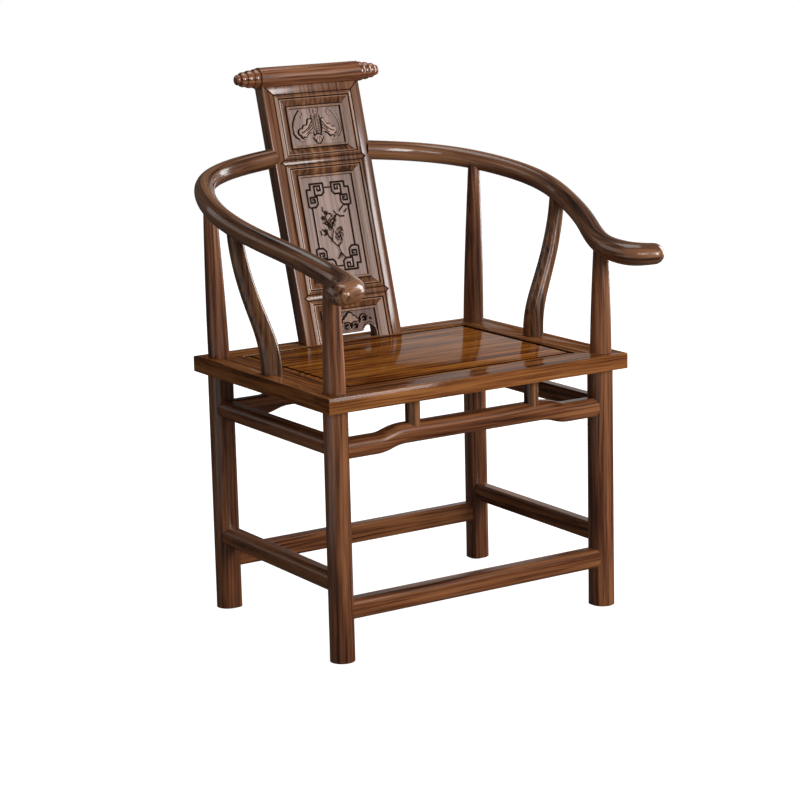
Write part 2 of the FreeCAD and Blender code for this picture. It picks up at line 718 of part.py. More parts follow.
def panel_slot(field, gap):
    z0, z1 = field[:2]
    x = HALF_FIELD + SPLAT_PANEL_TONGUE + gap
    return box(-x, x, SPLAT_PANEL_FRONT - gap, SPLAT_PANEL_FRONT + SPLAT_PANEL_T + gap,
               z0 - SPLAT_PANEL_TONGUE - gap, z1 + SPLAT_PANEL_TONGUE + gap)


def scroll_axis():
    return splat_point(0, SCROLL_LIFT, SCROLL_INSET)


def scroll_cylinder():
    at = scroll_axis()
    half = SCROLL_BODY / 2
    return Part.makeCylinder(SCROLL_D / 2, SCROLL_BODY, V(-half, at.y, at.z), V(1, 0, 0))


def scroll_tongue(gap):
    top = SCROLL_LIFT - SCROLL_D / 2 + SCROLL_TONGUE_H
    half = SCROLL_TONGUE_W / 2
    return on_splat(box(-half - gap, half + gap,
                        SCROLL_INSET - SCROLL_TONGUE_T / 2 - gap,
                        SCROLL_INSET + SCROLL_TONGUE_T / 2 + gap,
                        TOP_FIELD_TOP + MOULD_W, top + gap))


def splat_foot_tenon(gap):
    # upright tenon under the right stile, into the back seat rail
    middle = SPLAT_FOOT_Y + SPLAT_T / 2 / math.cos(LEAN)
    outer = HALF_W - (STILE_W - SPLAT_TENON_W) / 2
    return box(outer - SPLAT_TENON_W - gap, outer + gap,
               middle - SPLAT_TENON_T / 2 - gap, middle + SPLAT_TENON_T / 2 + gap,
               SEAT_TOP - SPLAT_TENON_L - gap, SEAT_TOP + OVERRUN)


def rounded_stile_blank():
    blank = box(HALF_FIELD, HALF_W, 0, SPLAT_T, BELOW, ABOVE)
    rims = []
    for edge in blank.Edges:
        upright = edge.BoundBox.ZLength > SPLAT_T
        if upright and edge.BoundBox.Center.x > (HALF_FIELD + HALF_W) / 2:
            rims.append(edge)
    return blank.makeFillet(SPLAT_CORNER_R, rims)


def splat_pieces():
    mouldings = moulding_tools()
    slots = [panel_slot(field, JOINT_GAP) for field in FIELDS]
    under_seat = box(-FAR, FAR, -FAR, FAR, -FAR, SEAT_TOP)
    scroll = scroll_cylinder()
    pieces = {}

    stile = rounded_stile_blank()
    for low, high in MID_RAILS:
        stile = stile.cut(mid_rail_blank(low, high))
        stile = stile.cut(grown(*mid_tenon_limits(low, high)))
    stile = stile.cut(top_rail_blank())
    stile = cut_all(stile, mouldings + slots)
    stile = on_splat(stile).cut(under_seat)
    stile = largest(stile.cut(scroll))
    stile = union(stile, splat_foot_tenon(0))
    stile = stile.cut(grown(*rail_tenon_limits()))
    pieces["splat_stile_right"] = stile
    pieces["splat_stile_left"] = mirrored(stile)

    names = ("splat_lower_rail", "splat_upper_rail")
    for name, (low, high) in zip(names, MID_RAILS):
        rail = cut_all(mid_rail_blank(low, high), mouldings + slots)
        tenon = box(*mid_tenon_limits(low, high))
        pieces[name] = on_splat(union(largest(rail), tenon, mirrored(tenon)))

    top = cut_all(top_rail_blank(), mouldings + slots)
    top = largest(on_splat(top).cut(scroll))
    pieces["splat_top_rail"] = union(top, scroll_tongue(0))
    return pieces


def bowed(a, b):
    # an arc between two points of the panel's plane, swelling upwards
    run = b - a
    up = math.copysign(CUTOUT_BOW_SHARE, run.x)
    crest = V((a.x + b.x) / 2 - run.z * up, a.y, (a.z + b.z) / 2 + run.x * up)
    return Part.Arc(a, crest, b).toShape()


def cutout():
    # the openwork under the bottom panel: a low lobe in the middle, an arch at each side
    front = -OVERRUN
    side = HALF_FIELD - CUTOUT_FOOT
    edges = []
    for sign in (-1, 1):
        floor = V(sign * side, front, BELOW - OVERRUN)
        spring = V(sign * side, front, CUTOUT_SPRING_H)
        peak = V(sign * CUTOUT_PEAK, front, CUTOUT_ARCH_H)
        lobe = V(sign * CUTOUT_LOBE, front, CUTOUT_LOBE_H)
        edges.append(Part.LineSegment(floor, spring).toShape())
        edges.append(bowed(spring, peak))
        edges.append(bowed(peak, lobe))
    edges.append(Part.LineSegment(V(-CUTOUT_LOBE, front, CUTOUT_LOBE_H),
                                  V(CUTOUT_LOBE, front, CUTOUT_LOBE_H)).toShape())
    edges.append(Part.LineSegment(V(-side, front, BELOW - OVERRUN),
                                  V(side, front, BELOW - OVERRUN)).toShape())
    wire = Part.Wire(Part.__sortEdges__(edges))
    return Part.Face(wire).extrude(V(0, SPLAT_T + 2 * OVERRUN, 0))


def splat_panels():
    under_seat = box(-FAR, FAR, -FAR, FAR, -FAR, SEAT_TOP)
    bottom = on_splat(panel_slot(FIELDS[0], 0).cut(cutout())).cut(under_seat)
    return {
        "splat_bottom_panel": largest(bottom),
        "splat_middle_panel": on_splat(panel_slot(FIELDS[1], 0)),
        "splat_top_panel": on_splat(panel_slot(FIELDS[2], 0)),
    }


def head_scroll():
    # a bar with turned beads at each end: half its outline, turned about x, and mirrored
    x = SCROLL_BODY / 2
    z = SCROLL_D / 2
    edges = [Part.LineSegment(V(0, 0, 0), V(0, 0, z)).toShape(),
             Part.LineSegment(V(0, 0, z), V(x, 0, z)).toShape()]
    for bead, (length, diameter) in enumerate(zip(BEAD_LENGTHS, BEAD_DIAMETERS)):
        neck = (diameter - BEAD_NECK) / 2
        end = BEAD_TIP / 2 if bead == len(BEAD_LENGTHS) - 1 else neck
        crest = V(x + length * BEAD_CREST_SHARES[bead], 0, diameter / 2)
        edges.append(Part.LineSegment(V(x, 0, z), V(x, 0, neck)).toShape())
        edges.append(Part.Arc(V(x, 0, neck), crest, V(x + length, 0, end)).toShape())
        x += length
        z = end
    edges.append(Part.LineSegment(V(x, 0, z), V(x, 0, 0)).toShape())
    edges.append(Part.LineSegment(V(x, 0, 0), V(0, 0, 0)).toShape())
    half = Part.Face(Part.Wire(edges)).revolve(V(0, 0, 0), V(1, 0, 0), 360)
    scroll = union(half, mirrored(half))
    at = scroll_axis()
    scroll.translate(V(0, at.y, at.z))
    return scroll.cut(scroll_tongue(JOINT_GAP))


def seat_frame():
    outer_x = SEAT_W / 2
    outer_y = SEAT_D / 2
    end = prism([(-outer_x, -outer_y, SEAT_UNDER), (outer_x, -outer_y, SEAT_UNDER),
                 (OPEN_X, -OPEN_Y, SEAT_UNDER), (-OPEN_X, -OPEN_Y, SEAT_UNDER)], V(0, 0, SEAT_T))
    side = prism([(outer_x, -outer_y, SEAT_UNDER), (outer_x, outer_y, SEAT_UNDER),
                  (OPEN_X, OPEN_Y, SEAT_UNDER), (OPEN_X, -OPEN_Y, SEAT_UNDER)], V(0, 0, SEAT_T))
    back = end.mirror(V(0, 0, 0), V(0, 1, 0))

    # mitre tenons of the front and back rails, near the inner corner of each joint
    low_z = SEAT_UNDER + FRAME_TENON_UP
    near = OPEN_Y + FRAME_TENON_SET
    tenons = {}
    for sign_y in (-1, 1):
        ends = sorted((sign_y * near, sign_y * (near + FRAME_TENON_W)))
        tenons[sign_y] = (OPEN_X - OVERRUN, OPEN_X + FRAME_TENON_L, ends[0], ends[1],
                          low_z, low_z + FRAME_TENON_T)
    front_tenon = box(*tenons[-1])
    back_tenon = box(*tenons[1])
    end = union(end, front_tenon, mirrored(front_tenon))
    back = union(back, back_tenon, mirrored(back_tenon))
    for sign_y in (-1, 1):
        side = side.cut(grown(*tenons[sign_y]))

    groove = box(-OPEN_X - PANEL_TONGUE - JOINT_GAP, OPEN_X + PANEL_TONGUE + JOINT_GAP,
                 -OPEN_Y - PANEL_TONGUE - JOINT_GAP, OPEN_Y + PANEL_TONGUE + JOINT_GAP,
                 PANEL_UNDER - JOINT_GAP, TONGUE_TOP + JOINT_GAP)
    holes = []
    for sign_x in (-1, 1):
        for sign_y in (-1, 1):
            holes.append(cylinder_z(LEG_X * sign_x, LEG_Y * sign_y, SEAT_UNDER - OVERRUN,
                                    SEAT_TOP + OVERRUN, POST_NECK + 2 * JOINT_GAP))
    battens = [grown(*batten_limits(sign_x)) for sign_x in (-1, 1)]
    foot = splat_foot_tenon(JOINT_GAP)
    post_hole = cylinder_z(SIDE_FOOT_X, SIDE_POST_Y, SEAT_TOP - SIDE_POST_TENON_L - JOINT_GAP,
                           SEAT_TOP + OVERRUN, SIDE_POST_TENON_D + 2 * JOINT_GAP)
    struts = [strut_tenon(sign_x, sign_y, JOINT_GAP) for sign_x in (-1, 1) for sign_y in (-1, 1)]

    end = largest(cut_all(end, [groove] + holes + battens + struts))
    back = largest(cut_all(back, [groove, foot, mirrored(foot)] + holes + battens + struts))
    side = largest(cut_all(side, [groove, post_hole] + holes))
    return {"seat_rail_front": end, "seat_rail_back": back,
            "seat_rail_right": side, "seat_rail_left": mirrored(side)}


def batten_limits(sign_x):
    reach = OPEN_Y + BATTEN_TENON
    x = BATTEN_X * sign_x
    return (x - BATTEN_W / 2, x + BATTEN_W / 2, -reach, reach, PANEL_UNDER - BATTEN_T, PANEL_UNDER)


def batten(sign_x):
    return box(*batten_limits(sign_x))


def seat_panel():
    under = box(-OPEN_X - PANEL_TONGUE, OPEN_X + PANEL_TONGUE,
                -OPEN_Y - PANEL_TONGUE, OPEN_Y + PANEL_TONGUE, PANEL_UNDER, TONGUE_TOP)
    wires = []
    for shrink, z in ((0, TONGUE_TOP), (PANEL_BEVEL, SEAT_TOP)):
        x = OPEN_X - shrink
        y = OPEN_Y - shrink
        points = [V(-x, -y, z), V(x, -y, z), V(x, y, z), V(-x, y, z)]
        wires.append(Part.makePolygon(points + points[:1]))
    return union(under, Part.makeLoft(wires, True, True))


def strut_tenon(sign_x, sign_y, gap):
    return cylinder_z(STRUT_X * sign_x, LEG_Y * sign_y, HUMP_TOP - STRUT_TENON_L - gap,
                      SEAT_UNDER + STRUT_TENON_L + gap, STRUT_TENON_D + 2 * gap)


def strut(sign_x, sign_y, bar):
    # a short upright, round outside and flat inside, between a stretcher and the seat
    foot_z = HUMP_TOP - HUMP_BAR_H / 2
    body = cylinder_z(STRUT_X * sign_x, LEG_Y * sign_y, foot_z, SEAT_UNDER, STRUT_D)
    ends = sorted(((LEG_Y - STRUT_FLAT) * sign_y, (LEG_Y - STRUT_D) * sign_y))
    flat = box(-FAR, FAR, ends[0], ends[1], HUMP_END_Z, SEAT_UNDER + OVERRUN)
    body = body.cut(flat)
    body = max(body.cut(bar).Solids, key=lambda solid: solid.CenterOfMass.z)
    return union(body, strut_tenon(sign_x, sign_y, 0))


def build():
    pieces = {}
    rail = whole_rail()

    pieces.update(seat_frame())
    pieces["seat_panel"] = seat_panel()
    pieces["seat_batten_left"] = batten(-1)
    pieces["seat_batten_right"] = batten(1)

    for sign_y, name in ((-1, "leg_front"), (1, "leg_back")):
        leg = leg_with_post(sign_y, rail)
        pieces[name + "_right"] = leg
        pieces[name + "_left"] = mirrored(leg)
    post = side_post(rail)
    pieces["side_post_right"] = post
    pieces["side_post_left"] = mirrored(post)

    crest, arm = rail_pieces(rail)
    pieces["crest_rail_right"] = crest
    pieces["crest_rail_left"] = mirrored(crest)
    pieces["arm_rail_right"] = arm
    pieces["arm_rail_left"] = mirrored(arm)
    peg = scarf_peg(0)
    pieces["rail_scarf_pegs"] = Part.makeCompound([peg, mirrored(peg)])

    pieces.update(splat_pieces())
    pieces.update(splat_panels())
    pieces["head_scroll"] = head_scroll()

    length_x = 2 * LEG_X
    length_y = 2 * LEG_Y
    humpback = humpback_bar(length_x)
    for sign_y, name in ((-1, "front"), (1, "back")):
        bar = stretcher_x(humpback, HUMP_END_Z, HUMP_BAR_H, sign_y)
        for sign_x, side in ((-1, "left"), (1, "right")):
            pieces["strut_" + name + "_" + side] = strut(sign_x, sign_y, bar)
            bar = bar.cut(strut_tenon(sign_x, sign_y, JOINT_GAP))
        pieces["humpback_stretcher_" + name] = bar
    foot_rail = straight_bar(length_x, FOOT_RAIL_H, FOOT_RAIL_TOP_R, BAR_OUTER_R)
    lower_back = straight_bar(length_x, LOWER_BACK_H, BAR_OUTER_R, BAR_OUTER_R)
    pieces["foot_rail_front"] = stretcher_x(foot_rail, FOOT_RAIL_Z, FOOT_RAIL_H, -1)
    pieces["stretcher_lower_back"] = stretcher_x(lower_back, LOWER_BACK_Z, LOWER_BACK_H, 1)
    levels = (("upper", UPPER_SIDE_Z, UPPER_SIDE_H), ("lower", LOWER_SIDE_Z, LOWER_SIDE_H))
    for level, z, height in levels:
        bar = stretcher_y(straight_bar(length_y, height, BAR_OUTER_R, BAR_OUTER_R), z, height)
        pieces["stretcher_" + level + "_right"] = bar
        pieces["stretcher_" + level + "_left"] = mirrored(bar)
    return pieces


def centre_shift():
    # brings the middle of the chair's depth over y = 0
    front = min(centre.y - half_w * math.sqrt(1 - tangent.y ** 2)
                for centre, tangent, half_w, _ in RAIL_SECTIONS)
    back = max(scroll_axis().y + SCROLL_D / 2, splat_point(0, ABOVE, SPLAT_T).y)
    return -(front + back) / 2


def main():
    os.makedirs("parts", exist_ok=True)
    shift = V(0, centre_shift(), 0)
    for name, shape in build().items():
        placed = shape.copy()
        placed.translate(shift)
        placed.exportStep("parts/" + name + ".step")


main()
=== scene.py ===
import math

import bmesh
import bpy
import numpy as np
from mathutils import Matrix, Vector


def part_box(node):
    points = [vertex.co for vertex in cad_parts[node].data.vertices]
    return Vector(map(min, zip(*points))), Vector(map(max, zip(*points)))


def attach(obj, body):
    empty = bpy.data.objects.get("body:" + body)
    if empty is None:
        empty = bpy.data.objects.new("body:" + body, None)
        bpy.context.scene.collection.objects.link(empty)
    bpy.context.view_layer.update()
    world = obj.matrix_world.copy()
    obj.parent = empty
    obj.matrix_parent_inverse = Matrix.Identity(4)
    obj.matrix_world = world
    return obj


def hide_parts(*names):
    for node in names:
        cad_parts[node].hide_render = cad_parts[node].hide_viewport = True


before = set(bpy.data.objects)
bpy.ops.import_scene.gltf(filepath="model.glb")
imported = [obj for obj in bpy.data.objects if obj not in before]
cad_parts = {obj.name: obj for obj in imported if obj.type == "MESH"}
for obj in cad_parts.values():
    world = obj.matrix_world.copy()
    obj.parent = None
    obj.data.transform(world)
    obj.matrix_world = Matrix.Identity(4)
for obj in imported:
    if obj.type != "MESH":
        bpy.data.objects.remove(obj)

bl_info = {
    "name": "Horseshoe back armchair",
    "version": (1, 0, 0),
    "blender": (4, 5, 0),
    "location": "View3D > Sidebar > Armchair",
    "description": "Dresses the wooden pieces of a horseshoe back armchair",
    "category": "Object",
}

MM = 0.001
BODY = "root"
MERGE = 0.01 * MM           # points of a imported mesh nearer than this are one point
FLAT = math.radians(0.1)    # faces that turn less than this are one flat face
CREASE = math.radians(35)   # edges that turn more than this stay sharp
UPRIGHT_EDGE = 20 * MM      # edges that rise more than this are the splat's long ones


def linear(code):
    """A colour written as an sRGB hex code, as linear red, green, blue and 1."""
    channels = [int(code[i:i + 2], 16) / 255 for i in (1, 3, 5)]
    curve = [c / 12.92 if c <= 0.04045 else ((c + 0.055) / 1.055) ** 2.4 for c in channels]
    return (*curve, 1.0)


# Wood

def fill(made, inputs):
    """Gives a node its inputs, each as a value, a socket, or a node for its first output."""
    for name, value in dict(inputs).items():
        if isinstance(value, bpy.types.Node):
            value = value.outputs[0]
        if isinstance(value, bpy.types.NodeSocket):
            made.id_data.links.new(value, made.inputs[name])
        else:
            made.inputs[name].default_value = value


def node(tree, kind, inputs=(), **settings):
    """Adds a node with its settings and its inputs."""
    made = tree.nodes.new(kind)
    for name, value in settings.items():
        setattr(made, name, value)
    fill(made, inputs)
    return made


def material(name):
    """A new material, with its node tree and its shader."""
    made = bpy.data.materials.new(name)
    made.use_nodes = True
    return made, made.node_tree, made.node_tree.nodes["Principled BSDF"]


def set_stops(ramp, stops, stain):
    """Gives a colour ramp its stops, as (position, hex colour), each under the stain."""
    elements = ramp.color_ramp.elements
    while len(elements) < len(stops):
        elements.new(1.0)
    for element, (position, code) in zip(elements, stops):
        element.position = position
        element.color = [value * share for value, share in zip(linear(code), stain)]


def painted_shade_and_highlight(tree, shader, colour, rough, coat):
    """Painted shade, dark and dull, in cuts and quirks, and painted highlights on high spots."""
    settings = bpy.context.scene.armchair
    shade_and_highlight = node(tree, "ShaderNodeAttribute", attribute_name="shade_and_highlight").outputs["Fac"]
    # the pale tone is a painted highlight, the dark tone a painted shade
    for end, most, tone in ((-1.0, 0.5, settings.painted_highlight), (1.0, 0.96, settings.wax_and_painted_shade)):
        share = node(tree, "ShaderNodeMapRange", {"Value": shade_and_highlight, "From Max": end, "To Max": most})
        colour = node(tree, "ShaderNodeMix", {"Factor": share, 6: colour, 7: tone},
                      data_type="RGBA").outputs[2]
    bare = node(tree, "ShaderNodeMapRange", {"Value": shade_and_highlight, "To Min": coat, "To Max": 0.0})
    fill(shader, {"Coat Weight": bare})
    dull = node(tree, "ShaderNodeMapRange", {"Value": shade_and_highlight, "To Max": 0.6})
    rough = node(tree, "ShaderNodeMath", {0: rough, 1: dull}, operation="ADD", use_clamp=True)
    return colour, rough


# How the grain runs: the turn that brings a piece's length onto the pattern's Z axis
LEAN = math.atan2(131.1, 460.0)     # the splat leans 131.1 mm back in a rise of 460 mm
GRAIN_TURNS = {
    "across": (0.0, math.radians(90), 0.0),
    "fore_and_aft": (math.radians(90), 0.0, 0.0),
    "upright": (0.0, 0.0, 0.0),
    "splat": (LEAN, 0.0, 0.0),
    "swept": (0.0, 0.0, 0.0),
}


def walnut(name, grain, stops, roughness, coat, haze, gloss, streak):
    """Lacquered walnut: long dark streaks on amber brown, under a clear coat.

    A swept piece carries its own place along and round its path, and a carved one its painted
    shade and painted highlights.
    """
    made, tree, shader = material("walnut_lacquered_" + name)
    if grain == "swept":
        place = node(tree, "ShaderNodeAttribute", attribute_name="grain").outputs["Vector"]
    else:
        place = node(tree, "ShaderNodeTexCoord").outputs["Object"]
    turned = node(tree, "ShaderNodeMapping", {"Vector": place, "Rotation": GRAIN_TURNS[grain]})

    # slow wander of the grain, about 3 mm over a hand's breadth
    wander = node(tree, "ShaderNodeTexNoise", {"Vector": turned, "Scale": 7.0, "Detail": 2.0})
    bend = node(tree, "ShaderNodeVectorMath", {0: wander.outputs["Color"], 1: (0.5, 0.5, 0.5)},
                operation="SUBTRACT")
    bend = node(tree, "ShaderNodeVectorMath", {0: bend, "Scale": 7 * MM}, operation="SCALE")
    warped = node(tree, "ShaderNodeVectorMath", {0: turned, 1: bend}, operation="ADD")

    # streaks, the broader figure, and open pores, which are drawn 1 mm wide so that they show
    across = 1 / (streak * 2 * MM)
    patterns = []
    for stretch, inputs in (
            ((across, across * 0.45, across / 55), {"Detail": 3.0, "Roughness": 0.62}),
            ((across / 5, across / 5, across / 80), {"Detail": 1.0}),
            ((1 / MM, 1 / MM, 0.04 / MM), {"Detail": 2.0})):
        drawn = node(tree, "ShaderNodeVectorMath", {0: warped, 1: stretch}, operation="MULTIPLY")
        patterns.append(node(tree, "ShaderNodeTexNoise", {"Vector": drawn, "Scale": 1.0,
                                                          **inputs}))
    streaks, figure, pores = patterns
    mixed = node(tree, "ShaderNodeMix", {"Factor": 0.28, "A": streaks, "B": figure})
    colour = node(tree, "ShaderNodeValToRGB", {"Fac": mixed})
    set_stops(colour, stops, bpy.context.scene.armchair.stain)
    rough = node(tree, "ShaderNodeMapRange", {"Value": mixed, "To Min": roughness - 0.05,
                                              "To Max": roughness + 0.07})
    # carved pieces get painted shade in their hollows and painted highlights on their high spots
    if name in CARVED:
        colour, rough = painted_shade_and_highlight(tree, shader, colour, rough, coat)
    else:
        fill(shader, {"Coat Weight": coat})
    bump = node(tree, "ShaderNodeBump", {"Height": pores, "Strength": 0.12, "Distance": 0.2 * MM})
    fill(shader, {"Base Color": colour, "Roughness": rough, "Normal": bump, "IOR": 1.45,
                  "Specular IOR Level": gloss, "Coat Roughness": haze})
    return made


def dark_wax_and_shade():
    """Old wax in a joint, and painted shade in a groove: nearly black, and dull."""
    made, _, shader = material("old_wax_and_painted_shade")
    fill(shader, {"Base Color": bpy.context.scene.armchair.wax_and_painted_shade, "Roughness": 0.8,
                  "Specular IOR Level": 0.0})
    return made


BROWN = ((0.34, "#2f180e"), (0.44, "#57311d"), (0.52, "#734629"), (0.64, "#885836"))
FRAME_BROWN = ((0.34, "#32190f"), (0.44, "#5e361c"), (0.52, "#7c4b28"), (0.64, "#926036"))
RAIL_BROWN = ((0.36, "#28180f"), (0.44, "#503323"), (0.52, "#704b34"), (0.64, "#885f41"))
POST_BROWN = ((0.36, "#23150d"), (0.44, "#492d1d"), (0.52, "#66432b"), (0.64, "#825735"))
SCROLL_BROWN = ((0.34, "#2a140c"), (0.44, "#5e3724"), (0.52, "#7d4f35"), (0.64, "#94684a"))
SEAT_BROWN = ((0.34, "#2a1005"), (0.44, "#592c0c"), (0.53, "#7c4817"), (0.66, "#9c6328"))
SPLAT_BROWN = ((0.34, "#2c170d"), (0.44, "#573623"), (0.53, "#744b33"), (0.66, "#8c6440"))
PANEL_BROWN = ((0.34, "#6b564e"), (0.5, "#876f66"), (0.66, "#9c847a"))
# a darker copy of the panels' colours, as painted shade on the bottom panel
SHADED_PANEL_BROWN = ((0.34, "#4a332c"), (0.5, "#634a41"), (0.66, "#785d52"))

# Each kind of wood: how its grain runs, its colours, its roughness, its clear coat's weight and
# roughness, the wood's own share of the shine, and how many millimetres wide a dark streak is
KINDS = {
    "rail": ("swept", RAIL_BROWN, 0.26, 0.45, 0.1, 0.2, 2.6),
    "scroll": ("across", SCROLL_BROWN, 0.22, 0.5, 0.1, 0.4, 2.2),
    "upright": ("upright", BROWN, 0.3, 0.35, 0.12, 0.35, 2.0),
    "post": ("upright", POST_BROWN, 0.24, 0.35, 0.12, 0.25, 2.2),
    "across": ("across", BROWN, 0.3, 0.25, 0.25, 0.1, 2.0),
    "fore_and_aft": ("fore_and_aft", BROWN, 0.3, 0.2, 0.2, 0.1, 2.0),
    "seat_frame": ("across", FRAME_BROWN, 0.3, 0.24, 0.1, 0.0, 2.0),
    "seat_frame_side": ("fore_and_aft", FRAME_BROWN, 0.3, 0.2, 0.1, 0.0, 2.0),
    "seat_panel": ("across", SEAT_BROWN, 0.3, 0.27, 0.1, 0.0, 2.2),
    "splat": ("splat", SPLAT_BROWN, 0.3, 0.6, 0.2, 0.15, 2.8),
    "splat_panel": ("splat", PANEL_BROWN, 0.34, 0.75, 0.2, 0.1, 3.0),
    # the bottom panel, painted darker as shade
    "splat_foot_shaded": ("splat", SHADED_PANEL_BROWN, 0.34, 0.75, 0.2, 0.1, 3.0),
}
CARVED = ("splat", "splat_panel", "splat_foot_shaded")
WOODS = {}


def wood(name):
    """The wood of one kind, made once, or the dark wax that also serves as painted shade."""
    if name not in WOODS:
        WOODS[name] = dark_wax_and_shade() if name == "wax_and_painted_shade" else walnut(name, *KINDS[name])
    return WOODS[name]


# Pieces

def finished(obj, wood_name, slot, *nodes):
    """Gives a piece its wood, and lets it stand for its nodes."""
    obj.data.materials.clear()
    obj.data.materials.append(wood(wood_name))
    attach(obj, BODY)
    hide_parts(*nodes)


def dress(names, wood_name, edge=0.0, slot="frame_wood"):
    """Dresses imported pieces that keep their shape, but for their eased edges."""
    for name in names:
        finished(eased(name, edge), wood_name, slot, name)


def link(name, mesh):
    obj = bpy.data.objects.new(name, mesh)
    bpy.context.scene.collection.objects.link(obj)
    return obj


def applied(obj):
    """Makes an object's modifiers part of its mesh."""
    graph = bpy.context.evaluated_depsgraph_get()
    done = bpy.data.meshes.new_from_object(obj.evaluated_get(graph))
    obj.modifiers.clear()
    obj.data = done
    return obj


def shade(mesh):
    """Smooth over curves, sharp at edges."""
    bm = bmesh.new()
    bm.from_mesh(mesh)
    for edge in bm.edges:
        edge.smooth = not is_sharp(edge)
    for face in bm.faces:
        face.smooth = True
    bm.to_mesh(mesh)
    bm.free()


def is_sharp(edge):
    return len(edge.link_faces) == 2 and edge.calc_face_angle(0.0) > CREASE


def eased(node_name, edge, arris=0.0, reach=0.0):
    """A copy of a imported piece, whole again, with its sharp edges eased by a small round.

    Upright edges further out than reach get the wider round arris.
    """
    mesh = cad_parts[node_name].data.copy()
    bm = bmesh.new()
    bm.from_mesh(mesh)
    bmesh.ops.remove_doubles(bm, verts=bm.verts, dist=MERGE)
    bmesh.ops.dissolve_limit(bm, angle_limit=FLAT, verts=bm.verts, edges=bm.edges)
    if arris > 0:
        outer = [e for e in bm.edges if is_sharp(e) and min(abs(v.co.x) for v in e.verts) > reach
                 and abs(e.verts[0].co.z - e.verts[1].co.z) > UPRIGHT_EDGE]
        bmesh.ops.bevel(bm, geom=outer, offset=arris, segments=5, profile=0.5, affect="EDGES")
    bm.to_mesh(mesh)
    bm.free()
    obj = link(node_name + "_eased", mesh)
    if edge > 0:
        bevel = obj.modifiers.new("Eased edges", "BEVEL")
        bevel.width = edge
        bevel.segments = 2
        bevel.limit_method = "ANGLE"
        bevel.angle_limit = CREASE
        bevel.use_clamp_overlap = False
    shade(applied(obj).data)
    return obj


# The arm rail's line, as part.py gives it: shares of its half width, of the way from the arm's
# end back to the splat, and of its fall, then how far its width and its height have swelled
RAIL_SHARES = (
    (None, 1.0, 0.0, 0.0, 0.0), (0.5425, 0.9790, 0.0565, 0.0, 0.0),
    (0.7698, 0.9050, 0.1329, 0.0, 0.0), (0.9326, 0.7590, 0.2492, 0.0, 0.0),
    (1.0, 0.6065, 0.3887, 0.0, 0.0), (0.9680, 0.4370, 0.5748, 0.02, 0.05),
    (0.8842, 0.2845, 0.7475, 0.06, 0.15), (0.8138, 0.1524, 0.9236, 0.22, 0.5),
    (0.8167, 0.0813, 0.9767, 0.6, 1.0), (0.8534, 0.0288, 0.9967, 1.0, 0.95),
    (0.9384, 0.0, 1.0, 0.88, 0.3))
RAIL_HALF = 0.341           # from the chair's middle to the rail's widest line
RAIL_INNER = 0.104          # where it enters the splat
RAIL_BACK = (0.27968, 0.8005)   # y and z where it enters the splat
RAIL_FRONT = (-0.31075, 0.650)  # y and z of the arm's end
RAIL_POINTS = 160           # along each side
RAIL_STUB = 0.006           # how far the swept rail runs on inside the splat
RAIL_R = 0.018
ARM_HALF_W = 0.026
ARM_HALF_H = 0.021


def smooth_through(knots, values, places):
    """A natural cubic curve through values at knots, read at places."""
    n = len(knots)
    h = np.diff(knots)
    slope = np.diff(values, axis=0) / h[:, None]
    rows = np.zeros((n, n))
    right = np.zeros(values.shape)
    rows[0, 0] = rows[-1, -1] = 1.0
    for i in range(1, n - 1):
        rows[i, i - 1:i + 2] = h[i - 1], 2 * (h[i - 1] + h[i]), h[i]
        right[i] = 6 * (slope[i] - slope[i - 1])
    bend = np.linalg.solve(rows, right)
    i = np.clip(np.searchsorted(knots, places) - 1, 0, n - 2)
    t0 = (places - knots[i])[:, None]
    t1 = (knots[i + 1] - places)[:, None]
    hi = h[i][:, None]
    return ((bend[i] * t1 ** 3 + bend[i + 1] * t0 ** 3) / (6 * hi)
            + (values[i] / hi - bend[i] * hi / 6) * t1
            + (values[i + 1] / hi - bend[i + 1] * hi / 6) * t0)


def rail_line(side):
    """The rail's centre line on one side, with half its width and height at each point."""
    points = []
    for across, along, fall, _, _ in RAIL_SHARES:
        points.append((RAIL_INNER if across is None else RAIL_HALF * across,
                       RAIL_FRONT[0] + (RAIL_BACK[0] - RAIL_FRONT[0]) * along,
                       RAIL_BACK[1] + (RAIL_FRONT[1] - RAIL_BACK[1]) * fall))
    points = np.array(points)
    knots = np.concatenate([[0.0], np.cumsum(np.linalg.norm(np.diff(points, axis=0), axis=1))])
    places = np.linspace(0, knots[-1], RAIL_POINTS)
    line = smooth_through(knots, points, places)
    swell = np.array([row[3:] for row in RAIL_SHARES])
    half_w = RAIL_R + (ARM_HALF_W - RAIL_R) * np.interp(places, knots, swell[:, 0])
    half_h = RAIL_R + (ARM_HALF_H - RAIL_R) * np.interp(places, knots, swell[:, 1])
    soft = np.ones(5) / 5
    half_w[2:-2] = np.convolve(half_w, soft, "valid")
    half_h[2:-2] = np.convolve(half_h, soft, "valid")
    # the round end of the arm, and a short stub inside the splat
    end = line[-1] - line[-2]
    end /= np.linalg.norm(end)
    turns = np.radians([12, 24, 36, 48, 58, 67, 75, 82, 87, 90])
    cap = line[-1] + end * half_h[-1] * np.sin(turns)[:, None]
    start = line[1] - line[0]
    stub = line[0] - start / np.linalg.norm(start) * RAIL_STUB
    line = np.vstack([stub, line, cap])
    line[:, 0] *= side
    shrink = np.maximum(np.cos(turns), 0.002)
    return (line, np.concatenate([half_w[:1], half_w, half_w[-1] * shrink]),
            np.concatenate([half_h[:1], half_h, half_h[-1] * shrink]))


